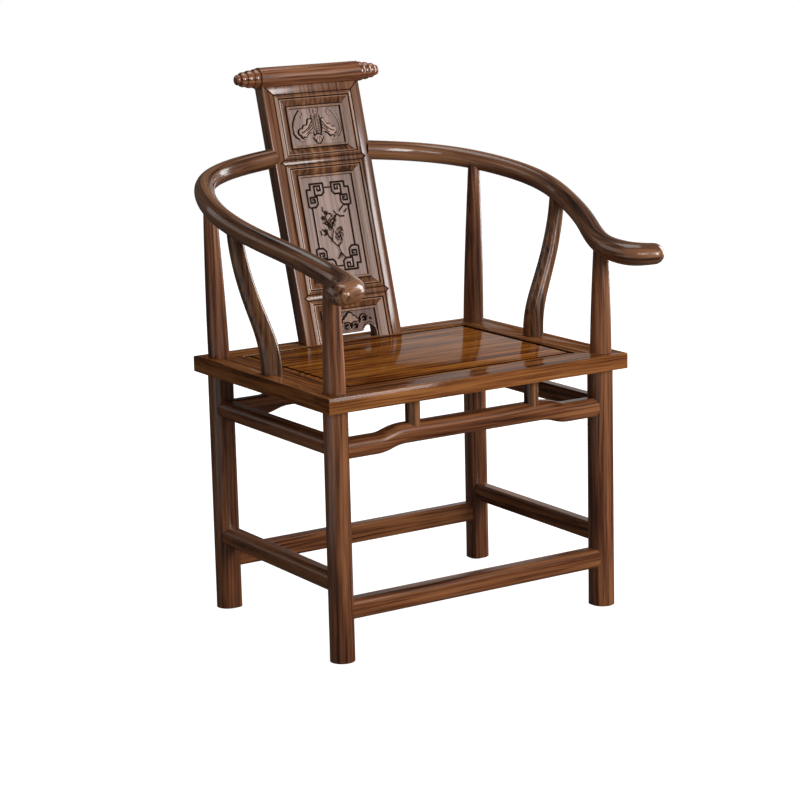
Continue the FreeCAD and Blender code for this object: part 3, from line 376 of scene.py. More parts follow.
def sweep_tree():
    """Geometry Nodes that sweep an oval of changing width and height along a line."""
    tree = bpy.data.node_groups.new("Swept rail", "GeometryNodeTree")
    for name, kind, way in (("Line", "Geometry", "INPUT"), ("Rings", "Int", "INPUT"),
                            ("Sides", "Int", "INPUT"), ("Wood", "Material", "INPUT"),
                            ("Rail", "Geometry", "OUTPUT")):
        tree.interface.new_socket(name=name, in_out=way, socket_type="NodeSocket" + kind)
    given = node(tree, "NodeGroupInput").outputs
    line = node(tree, "GeometryNodeMeshToCurve", {"Mesh": given["Line"]})
    grid = node(tree, "GeometryNodeMeshGrid", {"Size X": 1.0, "Size Y": 1.0,
                                               "Vertices X": given["Rings"],
                                               "Vertices Y": given["Sides"]})
    place = node(tree, "GeometryNodeInputPosition")
    parts = node(tree, "ShaderNodeSeparateXYZ", {"Vector": place}).outputs
    along = node(tree, "ShaderNodeMath", {0: parts["X"], 1: 0.5}, operation="ADD")
    turn = node(tree, "ShaderNodeMath", {0: parts["Y"], 1: 2 * math.pi}, operation="MULTIPLY")
    reads = []
    for name in ("half_w", "half_h"):
        half = node(tree, "GeometryNodeInputNamedAttribute", {"Name": name}, data_type="FLOAT")
        read = node(tree, "GeometryNodeSampleCurve", {"Curves": line, "Factor": along,
                                                      "Value": half.outputs["Attribute"]},
                    mode="FACTOR")
        reads.append(read.outputs)
    tangent = reads[0]["Tangent"]
    side = node(tree, "ShaderNodeVectorMath", {0: tangent, 1: (0, 0, 1)},
                operation="CROSS_PRODUCT")
    side = node(tree, "ShaderNodeVectorMath", {0: side}, operation="NORMALIZE")
    up = node(tree, "ShaderNodeVectorMath", {0: side, 1: tangent}, operation="CROSS_PRODUCT")
    length = node(tree, "GeometryNodeCurveLength", {"Curve": line})
    far = node(tree, "ShaderNodeMath", {0: along, 1: length}, operation="MULTIPLY")
    grain = node(tree, "ShaderNodeCombineXYZ", {"Z": far})
    place = reads[0]["Position"]
    for way, read, kind, axis in ((side, reads[0], "COSINE", "X"), (up, reads[1], "SINE", "Y")):
        part = node(tree, "ShaderNodeMath", {0: turn}, operation=kind)
        reach = node(tree, "ShaderNodeMath", {0: part, 1: read["Value"]}, operation="MULTIPLY")
        fill(grain, {axis: reach})
        step = node(tree, "ShaderNodeVectorMath", {0: way, "Scale": reach}, operation="SCALE")
        place = node(tree, "ShaderNodeVectorMath", {0: place, 1: step}, operation="ADD")
    # the wood's grain follows the path
    made = node(tree, "GeometryNodeStoreNamedAttribute",
                {"Geometry": grid, "Name": "grain", "Value": grain},
                data_type="FLOAT_VECTOR", domain="POINT")
    made = node(tree, "GeometryNodeSetPosition", {"Geometry": made, "Position": place})
    made = node(tree, "GeometryNodeMergeByDistance", {"Geometry": made, "Distance": 0.02 * MM})
    made = node(tree, "GeometryNodeSetShadeSmooth", {"Geometry": made})
    made = node(tree, "GeometryNodeRealizeInstances", {"Geometry": made})
    made = node(tree, "GeometryNodeSetMaterial", {"Geometry": made, "Material": given["Wood"]})
    node(tree, "NodeGroupOutput", {"Rail": made})
    return tree


def swept_rail(name, side, tree, rings, sides):
    """One side's whole rail, swept in one piece from the splat to the round end of the arm."""
    line, half_w, half_h = rail_line(side)
    mesh = bpy.data.meshes.new(name + "_line")
    mesh.from_pydata([tuple(p) for p in line], [(i, i + 1) for i in range(len(line) - 1)], [])
    for label, values in (("half_w", half_w), ("half_h", half_h)):
        mesh.attributes.new(label, "FLOAT", "POINT").data.foreach_set(
            "value", np.array(values, dtype=np.float32))
    obj = link(name, mesh)
    sweep = obj.modifiers.new("Sweep", "NODES")
    sweep.node_group = tree
    inputs = {item.name: item.identifier for item in tree.interface.items_tree
              if item.in_out == "INPUT"}
    for label, value in (("Rings", rings), ("Sides", sides), ("Wood", wood("rail"))):
        sweep[inputs[label]] = value
    return applied(obj)


def both(pattern):
    return [pattern.format(side) for side in ("left", "right")]


def camera_axes(azimuth, elevation, roll):
    """Right, up and back directions of a camera that looks at the chair."""
    back = Vector((math.sin(azimuth) * math.cos(elevation),
                   -math.cos(azimuth) * math.cos(elevation), math.sin(elevation)))
    right = Vector((0, 0, 1)).cross(back).normalized()
    up = back.cross(right)
    turned_right = right * math.cos(roll) + up * math.sin(roll)
    turned_up = up * math.cos(roll) - right * math.sin(roll)
    return turned_right, turned_up, back


# Carving of the splat's panels. Points are millimetres across from the middle of the splat and
# along its face from the seat; a stroke is (points, half width, height), sunk where it is negative

PANEL_DEPTH = 8.0           # from the splat's ridge back to the panels' ground
PANEL_T = 9.0
PANEL_HALF = 62.0
BOTTOM_FOOT, BOTTOM_TOP = -6.0, 61.5        # the panels' lower and upper edges
MIDDLE_FOOT, MIDDLE_TOP = 112.5, 316.5
TOP_FOOT, TOP_TOP = 362.5, 445.5
PITCH, WIDE_PITCH = 0.4, 0.56               # between a carved front's points, wide if it is large
PANEL_HIDDEN = 7.0          # how far a panel runs into the grooves round it
FULL_SHADE_DEPTH = 1.0           # cuts this deep are painted fully dark as shade
FULL_HIGHLIGHT_HEIGHT = 4.5         # carving this high would be painted quite pale as a highlight


def splat_origin():
    """Where the splat's ridge meets the seat's plane, found from the middle panel."""
    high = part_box("splat_middle_panel")[1]
    top, back = MIDDLE_TOP * MM, (PANEL_DEPTH + PANEL_T) * MM
    return (high.y - back * math.cos(LEAN) - top * math.sin(LEAN),
            high.z + PANEL_DEPTH * MM * math.sin(LEAN) - top * math.cos(LEAN))


def splat_place(origin, x, s, depth):
    """A point given across, along the splat's face and back from its ridge, in millimetres."""
    y, z = origin
    return (x * MM, y + (s * math.sin(LEAN) + depth * math.cos(LEAN)) * MM,
            z + (s * math.cos(LEAN) - depth * math.sin(LEAN)) * MM)


def splat_measures(origin, point):
    """The inverse of splat_place."""
    y, z = (point[1] - origin[0]) / MM, (point[2] - origin[1]) / MM
    return (point[0] / MM, y * math.sin(LEAN) + z * math.cos(LEAN),
            y * math.cos(LEAN) - z * math.sin(LEAN))


# The moulding round each field: millimetres out from the field's edge, millimetres back from
# the ridge, and painted light: 1 for painted shade in a quirk, below 0 for a highlight on an edge
FIELD_HALF = 55.0
MOULDING = (
    (30.5, 2.7, 0.0), (29.3, 2.7, 0.0), (29.0, 3.9, 1.3), (27.5, 3.9, 1.3), (27.2, 2.6, -0.5),
    (26.4, 2.1, 0.0), (22.6, 0.4, -0.2), (21.9, 0.25, -0.9), (21.2, 0.7, 0.0), (20.9, 3.6, 1.3),
    (19.0, 3.6, 1.3), (18.7, 1.5, -0.5), (17.7, 1.4, -0.9), (16.7, 2.0, 0.0), (7.2, 6.2, 0.1),
    (6.7, 6.4, 0.5), (6.4, 7.0, 1.3), (5.1, 7.0, 1.3), (4.8, 4.6, 0.0), (4.4, 3.6, -0.35),
    (1.0, 3.5, -0.35), (0.4, 3.8, 0.0), (0.0, 4.6, 0.8), (0.0, 9.0, 1.3))
# the fields' foot and top, and the moulding's width there as a share of its width at the side
FIELDS = {
    "bottom": (0.0, 54.5, None, 0.956),
    "middle": (119.5, 309.5, 0.956, 0.882),
    "top": (369.5, 438.5, 0.882, 1.0),
}


def out_from_field(x, s):
    """The least distance out from a field's edge, counted as on the stiles."""
    least = 1e9
    for foot, top, foot_share, top_share in FIELDS.values():
        out = max(abs(x) - FIELD_HALF, (s - top) / top_share)
        if foot_share:
            out = max(out, (foot - s) / foot_share)
        least = min(least, out)
    return least


def mesh_with_painted_light(name, verts, faces, shade_and_highlight):
    """A mesh that carries at each point its painted shade and painted highlight."""
    mesh = bpy.data.meshes.new(name)
    mesh.from_pydata(verts, [], faces)
    layer = mesh.attributes.new("shade_and_highlight", "FLOAT", "POINT")
    layer.data.foreach_set("value", np.array(shade_and_highlight, dtype=np.float32))
    return mesh


def moulding(field):
    """The moulding round one field, mitred at its corners, as a strip of crisp facets."""
    foot, top, foot_share, top_share = FIELDS[field]
    origin = splat_origin()
    verts, faces, shade_and_highlight = [], [], []
    for out, depth, painted_tone in MOULDING:
        half = FIELD_HALF + out
        high = top + out * top_share
        corners = [(-half, high), (half, high)]
        if foot_share:
            low = foot - out * foot_share
            corners = [(-half, low)] + corners + [(half, low), (-half, low)]
        else:
            corners = [(-half, foot)] + corners + [(half, foot)]
        for x, s in corners:
            verts.append(splat_place(origin, x, s, depth))
            shade_and_highlight.append(painted_tone)
    count = len(corners)
    for i in range(len(MOULDING) - 1):
        for k in range(count - 1):
            a = i * count + k
            faces.append((a, a + 1, a + 1 + count, a + count))
    mesh = mesh_with_painted_light("splat_moulding_" + field, verts, faces, shade_and_highlight)
    front = Vector((0, -math.cos(LEAN), math.sin(LEAN)))
    if sum(face.normal.dot(front) * face.area for face in mesh.polygons) < 0:
        mesh.flip_normals()
    return link(mesh.name, mesh)


# Joints that show in the splat's face, as lines across and along it: the mitres at the top and
# the pointed ends of the two rails between the fields
JOINTS = [
    [(80.0, 464.0), (99.0, 482.5)], [(84.5, 344.4), (90.5, 340.0), (84.5, 335.6)],
    [(84.5, 91.4), (90.5, 87.0), (84.5, 82.6)],
]
JOINT_W = 2.0
JOINT_DEPTH = 2.3           # just over the flat face of the splat's frame
SPLAT_HALF = 104.0          # half of the splat's width
PLAIN_DEPTH = 7.6           # faces of CAD's plain moulding are no deeper than this, and lie
PLAIN_OUT = (0.15, 28.9)    # between these distances out from a field
SEAT_OPENING = (239.5, 179.0)   # half of the seat frame's opening, across and fore and aft
# bands of painted shade in the groove, each from one (millimetres in from the opening,
# millimetres down) to another: the upper and the lower part of the panel's slope, and the wall of
# the frame
GROOVE_BANDS = (((11.9, 0.0), (8.2, 1.0)), ((2.6, 2.6), (0.1, 3.4)), ((0.12, 3.4), (0.12, 0.9)))


def seat_groove():
    """Painted shade and old wax in the seat panel's groove, as bands just over its surfaces."""
    low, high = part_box("seat_panel")
    middle = (low.y + high.y) / 2
    verts, faces = [], []
    for band in GROOVE_BANDS:
        start = len(verts)
        for inset, depth in band:
            x, y = (half - inset for half in SEAT_OPENING)
            for across, along in ((-x, -y), (x, -y), (x, y), (-x, y)):
                verts.append((across * MM, middle + along * MM, high.z - depth * MM))
        for k in range(4):
            a, b = start + k, start + (k + 1) % 4
            faces.append((a, b, b + 4, a + 4))
    mesh = bpy.data.meshes.new("seat_groove_lines")
    mesh.from_pydata(verts, [], faces)
    return link("seat_groove_lines", mesh)


def joint_lines():
    """Joints that old wax has darkened, as ribbons just over the splat's flat frame."""
    origin = splat_origin()
    verts, faces = [], []
    for line, side in ((line, side) for line in JOINTS for side in (-1, 1)):
        points = [Vector((side * x, s)) for x, s in line]
        for p, q in zip(points, points[1:]):
            along = (q - p).normalized() * JOINT_W / 2
            off = Vector((-along.y, along.x))
            start = len(verts)
            for corner in (p - along + off, p - along - off, q + along - off, q + along + off):
                verts.append(splat_place(origin, corner.x, corner.y, JOINT_DEPTH))
            faces.append(tuple(range(start, start + 4)))
    mesh = bpy.data.meshes.new("splat_joint_lines")
    mesh.from_pydata(verts, [], faces)
    return link("splat_joint_lines", mesh)


def without_moulding(obj):
    """Takes the plain moulding off the front of a splat piece, where the finer one goes."""
    origin = splat_origin()
    bm = bmesh.new()
    bm.from_mesh(obj.data)
    gone = []
    for face in bm.faces:
        x, s, depth = splat_measures(origin, face.calc_center_median())
        if depth < PLAIN_DEPTH and PLAIN_OUT[0] < out_from_field(x, s) < PLAIN_OUT[1]:
            gone.append(face)
    bmesh.ops.delete(bm, geom=gone, context="FACES")
    bm.to_mesh(obj.data)
    bm.free()
    return obj


def mirrored(strokes):
    """The strokes and the same ones on the other side of the middle."""
    return strokes + [([(-x, s) for x, s in points], wide, high) for points, wide, high in strokes]


def turned_over(strokes, middle):
    """The strokes upside down about a height."""
    return [([(x, 2 * middle - s) for x, s in points], wide, high)
            for points, wide, high in strokes]


def ring(x, s, radius, start=0, end=360, across=1.0, step=20):
    """Points round a circle or an ellipse."""
    turns = [math.radians(a) for a in range(start, end + 1, step)]
    return [(x + radius * across * math.cos(a), s + radius * math.sin(a)) for a in turns]


def distance(x, s, points):
    """How far each place lies from a line of points."""
    nearest = np.full(x.shape, 1e9)
    for (ax, az), (bx, bz) in zip(points, points[1:]):
        dx, dz = bx - ax, bz - az
        along = ((x - ax) * dx + (s - az) * dz) / max(dx * dx + dz * dz, 1e-9)
        along = np.clip(along, 0, 1)
        nearest = np.minimum(nearest, np.hypot(x - ax - along * dx, s - az - along * dz))
    return nearest


def inside(x, s, points):
    """Which places lie within a closed outline."""
    odd = np.zeros(x.shape, bool)
    for (ax, az), (bx, bz) in zip(points, points[1:] + points[:1]):
        crosses = (az > s) != (bz > s)
        odd ^= crosses & (x < (bx - ax) * (s - az) / (bz - az + 1e-12) + ax)
    return odd


def carve(x, s, strokes, fields):
    """Height of the carving over the ground, and its painted shade and highlight, at each place."""
    raised = np.zeros(x.shape)
    for points, wide, high in fields:
        edge = distance(x, s, points + points[:1])
        full = np.sqrt(1 - (1 - np.clip(edge / wide, 0, 1)) ** 2)
        raised = np.maximum(raised, np.where(inside(x, s, points), high * full, 0))
    sunk = np.zeros(x.shape)
    for points, wide, high in strokes:
        near = np.clip(distance(x, s, points) / wide, 0, 1)
        if high > 0:
            raised = np.maximum(raised, high * np.sqrt(1 - near ** 2))
        else:
            sunk = np.maximum(sunk, -high * (1 - near ** 2))
    return raised - sunk, np.where(sunk > 0.1, sunk / FULL_SHADE_DEPTH, -raised / FULL_HIGHLIGHT_HEIGHT)


# key fret in the middle panel's upper right corner, drawn as sunk lines
FRET = [
    ([(36.8, 286.5), (36.8, 297), (8.7, 297), (8.7, 280), (14, 275), (28.3, 275), (28.3, 292.3),
      (15.6, 292.3), (15.6, 284), (22, 284), (22, 288)], 1.9, -2.4),
    ([(36.8, 286.5), (45.2, 286.5), (45.2, 255), (41, 252.8), (30.5, 253.2), (24.5, 259),
      (24.5, 272), (39.3, 272), (39.3, 262.2), (30, 262.2), (30, 267.6), (34, 267.6)], 1.9, -2.4),
    ([(38.6, 253), (38.6, 214)], 2.0, -2.4),
    ([(0, 288.6), (5.5, 288.6)], 1.6, -1.8),
]
# the blossom branch, from its root to its tips
TWIGS = [
    ([(-3.5, 155), (0.5, 162), (4, 166), (9, 160), (13, 154)], 1.5, 1.6),
    ([(5, 164), (2.5, 171), (1.5, 177), (-3.5, 182), (-12, 190)], 1.5, 2.0),
    ([(-10, 188), (-9, 195), (-7, 201), (-4, 208), (-6, 213), (-15, 218), (-22, 223)], 1.2, 1.8),
    ([(-12, 192), (-19, 204), (-27, 211)], 1.0, 1.5),
    ([(-15, 196), (-17, 203), (-24, 201)], 0.9, 1.3),
    ([(-8, 213), (-14, 222), (-18, 231), (-13, 241), (-20, 246), (-19, 252)], 1.1, 1.6),
    ([(-7, 215), (-1, 224), (4, 232), (8, 238), (4, 243.5)], 1.1, 1.6),
    ([(8, 238), (16, 233), (24, 233)], 1.1, 1.5),
    ([(15, 244), (25, 252.5)], 1.3, 1.6),
    ([(26, 240.5), (31, 245)], 1.0, 1.4),
    ([(2, 179), (8, 184), (11, 190), (9, 198)], 1.1, 1.6),
    ([(-31, 208), (-30, 202)], 0.9, 1.2),
    ([(-8, 240), (-4, 239)], 1.1, 1.3),
]
BLOSSOMS = ((1.0, 229, 6.5), (-2.5, 220, 6.0), (-12, 224, 5.0), (10, 202, 8.0), (6, 194, 5.5),
            (-7, 213, 4.5), (-18, 207, 3.5), (-12, 241, 3.5), (14, 209, 4.0), (-20, 232, 3.2))


def blossom(x, s, radius):
    """A flower's small petals, and the cuts between them."""
    petals, cuts = [], []
    for k in range(5):
        a = math.radians(90 + 72 * k)
        petals.append((ring(x + radius * 0.62 * math.cos(a), s + radius * 0.62 * math.sin(a),
                            radius * 0.36, step=60), radius * 0.3, 2.4))
        b = a + math.radians(36)
        cuts.append(([(x + radius * 0.25 * math.cos(b), s + radius * 0.25 * math.sin(b)),
                      (x + radius * 1.05 * math.cos(b), s + radius * 1.05 * math.sin(b)),
                      (x + radius * 1.15 * math.cos(a), s + radius * 1.15 * math.sin(a))],
                     1.0, -1.4))
    return petals, cuts


def middle_carving():
    frets = mirrored(FRET)
    strokes = frets + turned_over(frets, (MIDDLE_FOOT + MIDDLE_TOP) / 2)
    fields = []
    for x, s, radius in BLOSSOMS:
        petals, cuts = blossom(x, s, radius)
        fields += petals
        strokes += cuts
        strokes.append((ring(x, s, radius * 0.12, step=60), 0.9, -1.5))
    for points, wide, high in TWIGS:
        strokes.append(([(x + wide + 0.7, s - 0.7) for x, s in points], 1.7, -2.4))
        strokes.append((points, wide, high))
    fields.append((ring(6.5, 159.5, 5.0, step=30), 1.6, 2.2))
    strokes.append((ring(6.5, 159.5, 2.0, step=40), 0.9, -2.2))
    return strokes, fields


# the bat of the top panel: one side of its body, wing and the leafy scroll round it
BAT = [
    ([(32.5, 435), (40, 426), (46, 415), (49.3, 403), (48.3, 392.5), (44, 385.5), (38.5, 381.5)],
     1.9, 3.0),
    ([(32.5, 435), (28.5, 434), (26, 430.5), (26.8, 426), (31, 422.8)], 1.6, 2.6),
    ([(38.5, 381.5), (34, 377.8), (29, 378), (27, 381), (30, 383.5), (34.5, 382)], 1.7, 2.8),
    ([(43.5, 384), (39, 378.5), (35, 377.5)], 1.4, 2.2),
    ([(8.8, 436.8), (8.6, 431), (6.0, 425.5), (3, 423)], 1.5, 2.8),
    ([(8.5, 416), (13, 410), (19, 402), (27, 396), (34, 393)], 1.1, -1.8),
    ([(8.5, 409), (14, 403), (22, 396)], 1.0, -1.6),
    ([(8.2, 402), (15, 397), (24, 391)], 1.0, -1.6),
    ([(3.0, 383.5), (6.0, 376.5)], 0.8, -1.2),
    ([(9.0, 424), (9.4, 400), (7.0, 388)], 1.4, -2.2),
    ([(38, 399), (40.5, 395.5), (39, 391.5), (35.5, 392), (35.5, 395)], 1.3, 3.4),
]
WING = [(7, 421), (11, 417.5), (15, 419), (18.5, 417.5), (19.5, 412), (22, 407), (27, 407.5),
        (30.5, 404.5), (32, 401), (36, 401.5), (40, 399), (41.5, 395), (40, 390), (36, 388),
        (34, 382.5), (30, 385.5), (26, 383.5), (22, 388.5), (16, 392.5), (9, 392)]


def top_carving():
    strokes = mirrored(BAT)
    fields = [(WING, 2.0, 2.8), ([(-x, s) for x, s in WING], 2.0, 2.8),
              (ring(0, 407.5, 18.5, across=0.37, step=20), 5.5, 3.8),
              (ring(0, 431.5, 4.6, step=30), 2.6, 3.6),
              ([(-10, 383), (-6.5, 377), (0, 370.5), (6.5, 377), (10, 383), (5, 386.5), (0, 389),
                (-5, 386.5)], 2.0, 3.0)]
    strokes += [(ring(0, 433.2, 2.4, 180, 360, step=30), 0.6, -1.2),
                ([(0, 384.5), (0, 374)], 0.8, -1.2),
                ([(-8.5, 387), (0, 390.5), (8.5, 387)], 1.2, -2.0),
                ([(-11.5, 383), (-7.5, 376), (0, 368.5), (7.5, 376), (11.5, 383)], 1.1, -1.8),
                ([(-2.4, 425), (-3.4, 407), (-2.4, 391)], 0.9, -1.5),
                ([(2.4, 425), (3.4, 407), (2.4, 391)], 0.9, -1.5)]
    for k in range(10):
        strokes.append(([(0, 393.5 + 3.3 * k), (0, 394.2 + 3.3 * k)], 1.4, 4.6))
        strokes.append(([(-1.6, 395.4 + 3.3 * k), (1.6, 395.4 + 3.3 * k)], 0.7, -1.2))
    # cuts along the outside of the scroll and the wing, where the knife set them off
    for side in (-1, 1):
        outline = [(x * side, s) for x, s in WING[1:-1]]
        strokes.append((outline, 1.2, -1.9))
        strokes.append(([(x * side * 1.07, s) for x, s in BAT[0][0]], 1.1, -1.7))
    return strokes, fields


# the cloud of the bottom panel: one side, over the open arches under it
CLOUD = [
    (ring(8.5, 26.0, 5.6, -60, 240), 1.6, 2.4),
    (ring(29.0, 38.0, 6.2, -90, 200), 1.7, 2.4),
    ([(29, 31.8), (23, 32), (17, 28)], 1.7, 2.2),
    ([(35, 40), (40, 41), (44, 38.5)], 1.3, 1.9),
    (ring(9.5, 26.0, 3.2, -90, 130), 2.2, -3.0),
    (ring(30.0, 38.0, 3.4, -100, 140), 2.3, -3.0),
    (ring(8.5, 26.0, 8.0, 60, 210), 1.2, -2.2),
    (ring(29.0, 38.0, 8.6, 20, 200), 1.3, -2.4),
    ([(43, 37), (45.5, 36)], 2.0, -2.8),
    ([(21, 37), (19.5, 33)], 1.9, -2.8),
    ([(0, 31), (2.5, 27)], 1.6, -2.4),
]
PEAK = [(0, 52.5), (5.5, 49.5), (6.5, 46), (11, 44.5), (13, 40.5), (18, 38.5), (17, 35), (9, 33),
        (0, 31.5)]
CUTOUT_FOOT = 51.5          # the arch of CAD's open work: where it springs, its top, its lobe
CUTOUT_EDGE = ((51.5, 14.0), (41.0, 26.0), (24.0, 15.0))
CUTOUT_BOW = 0.15


def arch_edge():
    """Points along the open work's edge, from the foot in to the middle, bowed as in CAD."""
    points = []
    for (ax, az), (bx, bz) in zip(CUTOUT_EDGE, CUTOUT_EDGE[1:]):
        run = math.hypot(bx - ax, bz - az)
        rise = CUTOUT_BOW * run
        radius = (run * run / 4 + rise * rise) / (2 * rise)
        nx, nz = (bz - az) / run, -(bx - ax) / run
        cx = (ax + bx) / 2 - nx * (radius - rise)
        cz = (az + bz) / 2 - nz * (radius - rise)
        a0 = math.atan2(az - cz, ax - cx)
        a1 = math.atan2(bz - cz, bx - cx)
        if a1 < a0:
            a1 += 2 * math.pi
        for k in range(13):
            a = a0 + (a1 - a0) * k / 12
            points.append((cx + radius * math.cos(a), cz + radius * math.sin(a)))
    return points


def bottom_carving():
    strokes = mirrored(CLOUD)
    fields = [(PEAK + [(-x, s) for x, s in reversed(PEAK[1:-1])], 2.0, 2.4)]
    strokes += mirrored([([(x + 0.8, s + 0.9) for x, s in PEAK[:-2]], 1.5, -2.6)])
    edge = [(x + 0.3, s + 1.4) for x, s in arch_edge()]
    bead = [(53.0, 1.0), (53.0, 14.0)] + edge + [(0, 16.4)]
    strokes += mirrored([(bead, 1.5, 2.0), ([(x, s + 2.9) for x, s in edge], 0.7, -0.9)])
    return strokes, fields


def carved_panel(node_name, top, carving, parts, pitch):
    """A panel with a carved front, standing where the CAD panel stands.

    parts lists its stretches across, each as (from, to, height of the lower edge), where None
    stands for the open work's arches.
    """
    origin = splat_origin()
    verts, faces, shade_and_highlight = [], [], []
    for x0, x1, lower in parts:
        columns = max(2, int(round((x1 - x0) / pitch)) + 1)
        xs = np.linspace(x0, x1, columns)
        if lower is None:
            low = np.interp(np.abs(xs), *zip(*reversed(arch_edge())))
        else:
            low = np.full(columns, lower)
        rows = int(round((top - low.min()) / pitch)) + 1
        x = np.repeat(xs[:, None], rows, axis=1)
        s = low[:, None] + (top - low)[:, None] * np.linspace(0, 1, rows)[None, :]
        height, painted_tone = carve(x, s, *carving)
        hidden = (np.abs(x) > PANEL_HALF - PANEL_HIDDEN) | (s > top - PANEL_HIDDEN)
        height = np.where(hidden, 0, height)
        start = len(verts)
        grid = np.arange(columns * rows).reshape(columns, rows) + start
        verts += list(zip(x.ravel(), s.ravel(), PANEL_DEPTH - height.ravel()))
        shade_and_highlight += list(np.where(hidden, 0, painted_tone).ravel())
        faces += list(zip(grid[:-1, :-1].ravel(), grid[1:, :-1].ravel(),
                          grid[1:, 1:].ravel(), grid[:-1, 1:].ravel()))
        rim = np.concatenate([grid[:, 0], grid[-1, 1:], grid[-2::-1, -1], grid[0, -2:0:-1]])
        back = len(verts) + np.arange(len(rim))
        verts += [(verts[i][0], verts[i][1], PANEL_DEPTH + PANEL_T) for i in rim]
        shade_and_highlight += [0.0] * len(rim)
        faces += list(zip(np.roll(rim, -1), rim, back, np.roll(back, -1)))
        faces.append(tuple(back[::-1]))
    placed = [splat_place(origin, *vert) for vert in verts]
    mesh = mesh_with_painted_light(node_name + "_carved", placed, [[int(i) for i in face] for face in faces],
                     shade_and_highlight)
    shade(mesh)
    return link(node_name + "_carved", mesh)


class ArmchairSettings(bpy.types.PropertyGroup):
    """Sizes and colours that a user would change."""
    stain: bpy.props.FloatVectorProperty(
        name="Stain", description="Colour laid over all the wood; white leaves it as it is",
        default=(1.0, 1.0, 1.0, 1.0), size=4, min=0.0, max=1.0, subtype="COLOR")
    # the pale tone of painted highlights on the carving and on the mouldings' edges
    painted_highlight: bpy.props.FloatVectorProperty(
        name="Rubbed wood", description="Tone of the edges and carving that hands have rubbed",
        default=linear("#c49c80"), size=4, min=0.0, max=1.0, subtype="COLOR")
    # the dark tone of the joints, and of painted shade in the grooves, hollows and quirks
    wax_and_painted_shade: bpy.props.FloatVectorProperty(
        name="Old wax", description="Tone of the wax in the joints, grooves and hollows",
        default=linear("#1c0d08"), size=4, min=0.0, max=1.0, subtype="COLOR")
    edge: bpy.props.FloatProperty(
        name="Eased edge", description="Round on the sharp edges of the frame", default=1.2 * MM,
        min=0.0, unit="LENGTH")
    fine_edge: bpy.props.FloatProperty(
        name="Fine edge", description="Round on the edges of the mouldings", default=0.8 * MM,
        min=0.0, unit="LENGTH")
    arris: bpy.props.FloatProperty(
        name="Splat arris", description="Round on the splat's long outer edges",
        default=3.2 * MM, min=0.0, unit="LENGTH")
    rail_rings: bpy.props.IntProperty(
        name="Rail rings", description="Ovals along each side of the arm rail", default=220, min=20)
    rail_sides: bpy.props.IntProperty(
        name="Rail sides", description="Points round each oval of the rail", default=49, min=9)


# Cards that only the lacquer sees, as a studio hangs them round a piece: colour, strength, where
# the middle hangs, width and height. The one just over the floor lies flat, turned by CARD_TURN
CARDS = (
    ("card_behind", "#f0ecea", 1.0, (3.8, 5.8, 1.3), 5.0, 2.6),
    ("card_bright", "#f4f0ee", 9.0, (-1.5, -4.2, 2.3), 2.0, 1.3),
    ("card_pale", "#e2dcd9", 1.8, (2.6, -3.9, 2.7), 2.2, 2.0),
    ("card_soft", "#d8d4d2", 2.2, (-4.3, 2.9, 3.0), 6.3, 2.6),
    ("card_floor", "#d8d4d2", 1.3, (-2.7, -0.5, 0.0005), 2.2, 3.2),
)
WALLS = (("card", "#4a4644", 1.0), ("card_left", "#2c2a2a", 1.0))
WALLS_REACH = 6.0
CARDS_AIM = Vector((0, 0, 0.6))
CARD_TURN = math.radians(80)
# area lamps: where they hang, where they aim, their sides and their power in watts
LAMPS = (
    ("key", (0.9, -3.8, 1.7), (0, 0, 0.4), (1.4, 1.8), 155),
    ("fill", (-3.5, -1.0, 1.7), (0, 0, 0.5), (0.5, 2.2), 2),
    ("strip", (3.3, 0.5, 1.4), (0, 0, 0.4), (1.1, 2.6), 85),
    ("top", (0.3, 0.5, 3.4), (0, 0, 0.5), (1.6, 1.6), 30),
)
FLOOR_REACH = 5.0
CAMERA_PLACE = (-2.35073, -3.68728, 1.32393)
CAMERA_TURN = (-32.373, 12.175, -1.402)     # azimuth, elevation and roll in degrees
CAMERA_LENS = 111.74                        # millimetres, on a frame 36 mm wide


def seen_ray(tree):
    """1 for rays from the camera, and for those that a shiny or a clear surface sends on."""
    ray = node(tree, "ShaderNodeLightPath").outputs
    seen = node(tree, "ShaderNodeMath", {0: ray["Is Camera Ray"], 1: ray["Is Glossy Ray"]},
                operation="ADD")
    return node(tree, "ShaderNodeMath", {0: seen, 1: ray["Is Transmission Ray"]},
                operation="ADD", use_clamp=True)


def aimed(way, axis):
    """The turn that brings an axis onto a direction."""
    return way.to_track_quat(axis, "Y").to_matrix().to_4x4()


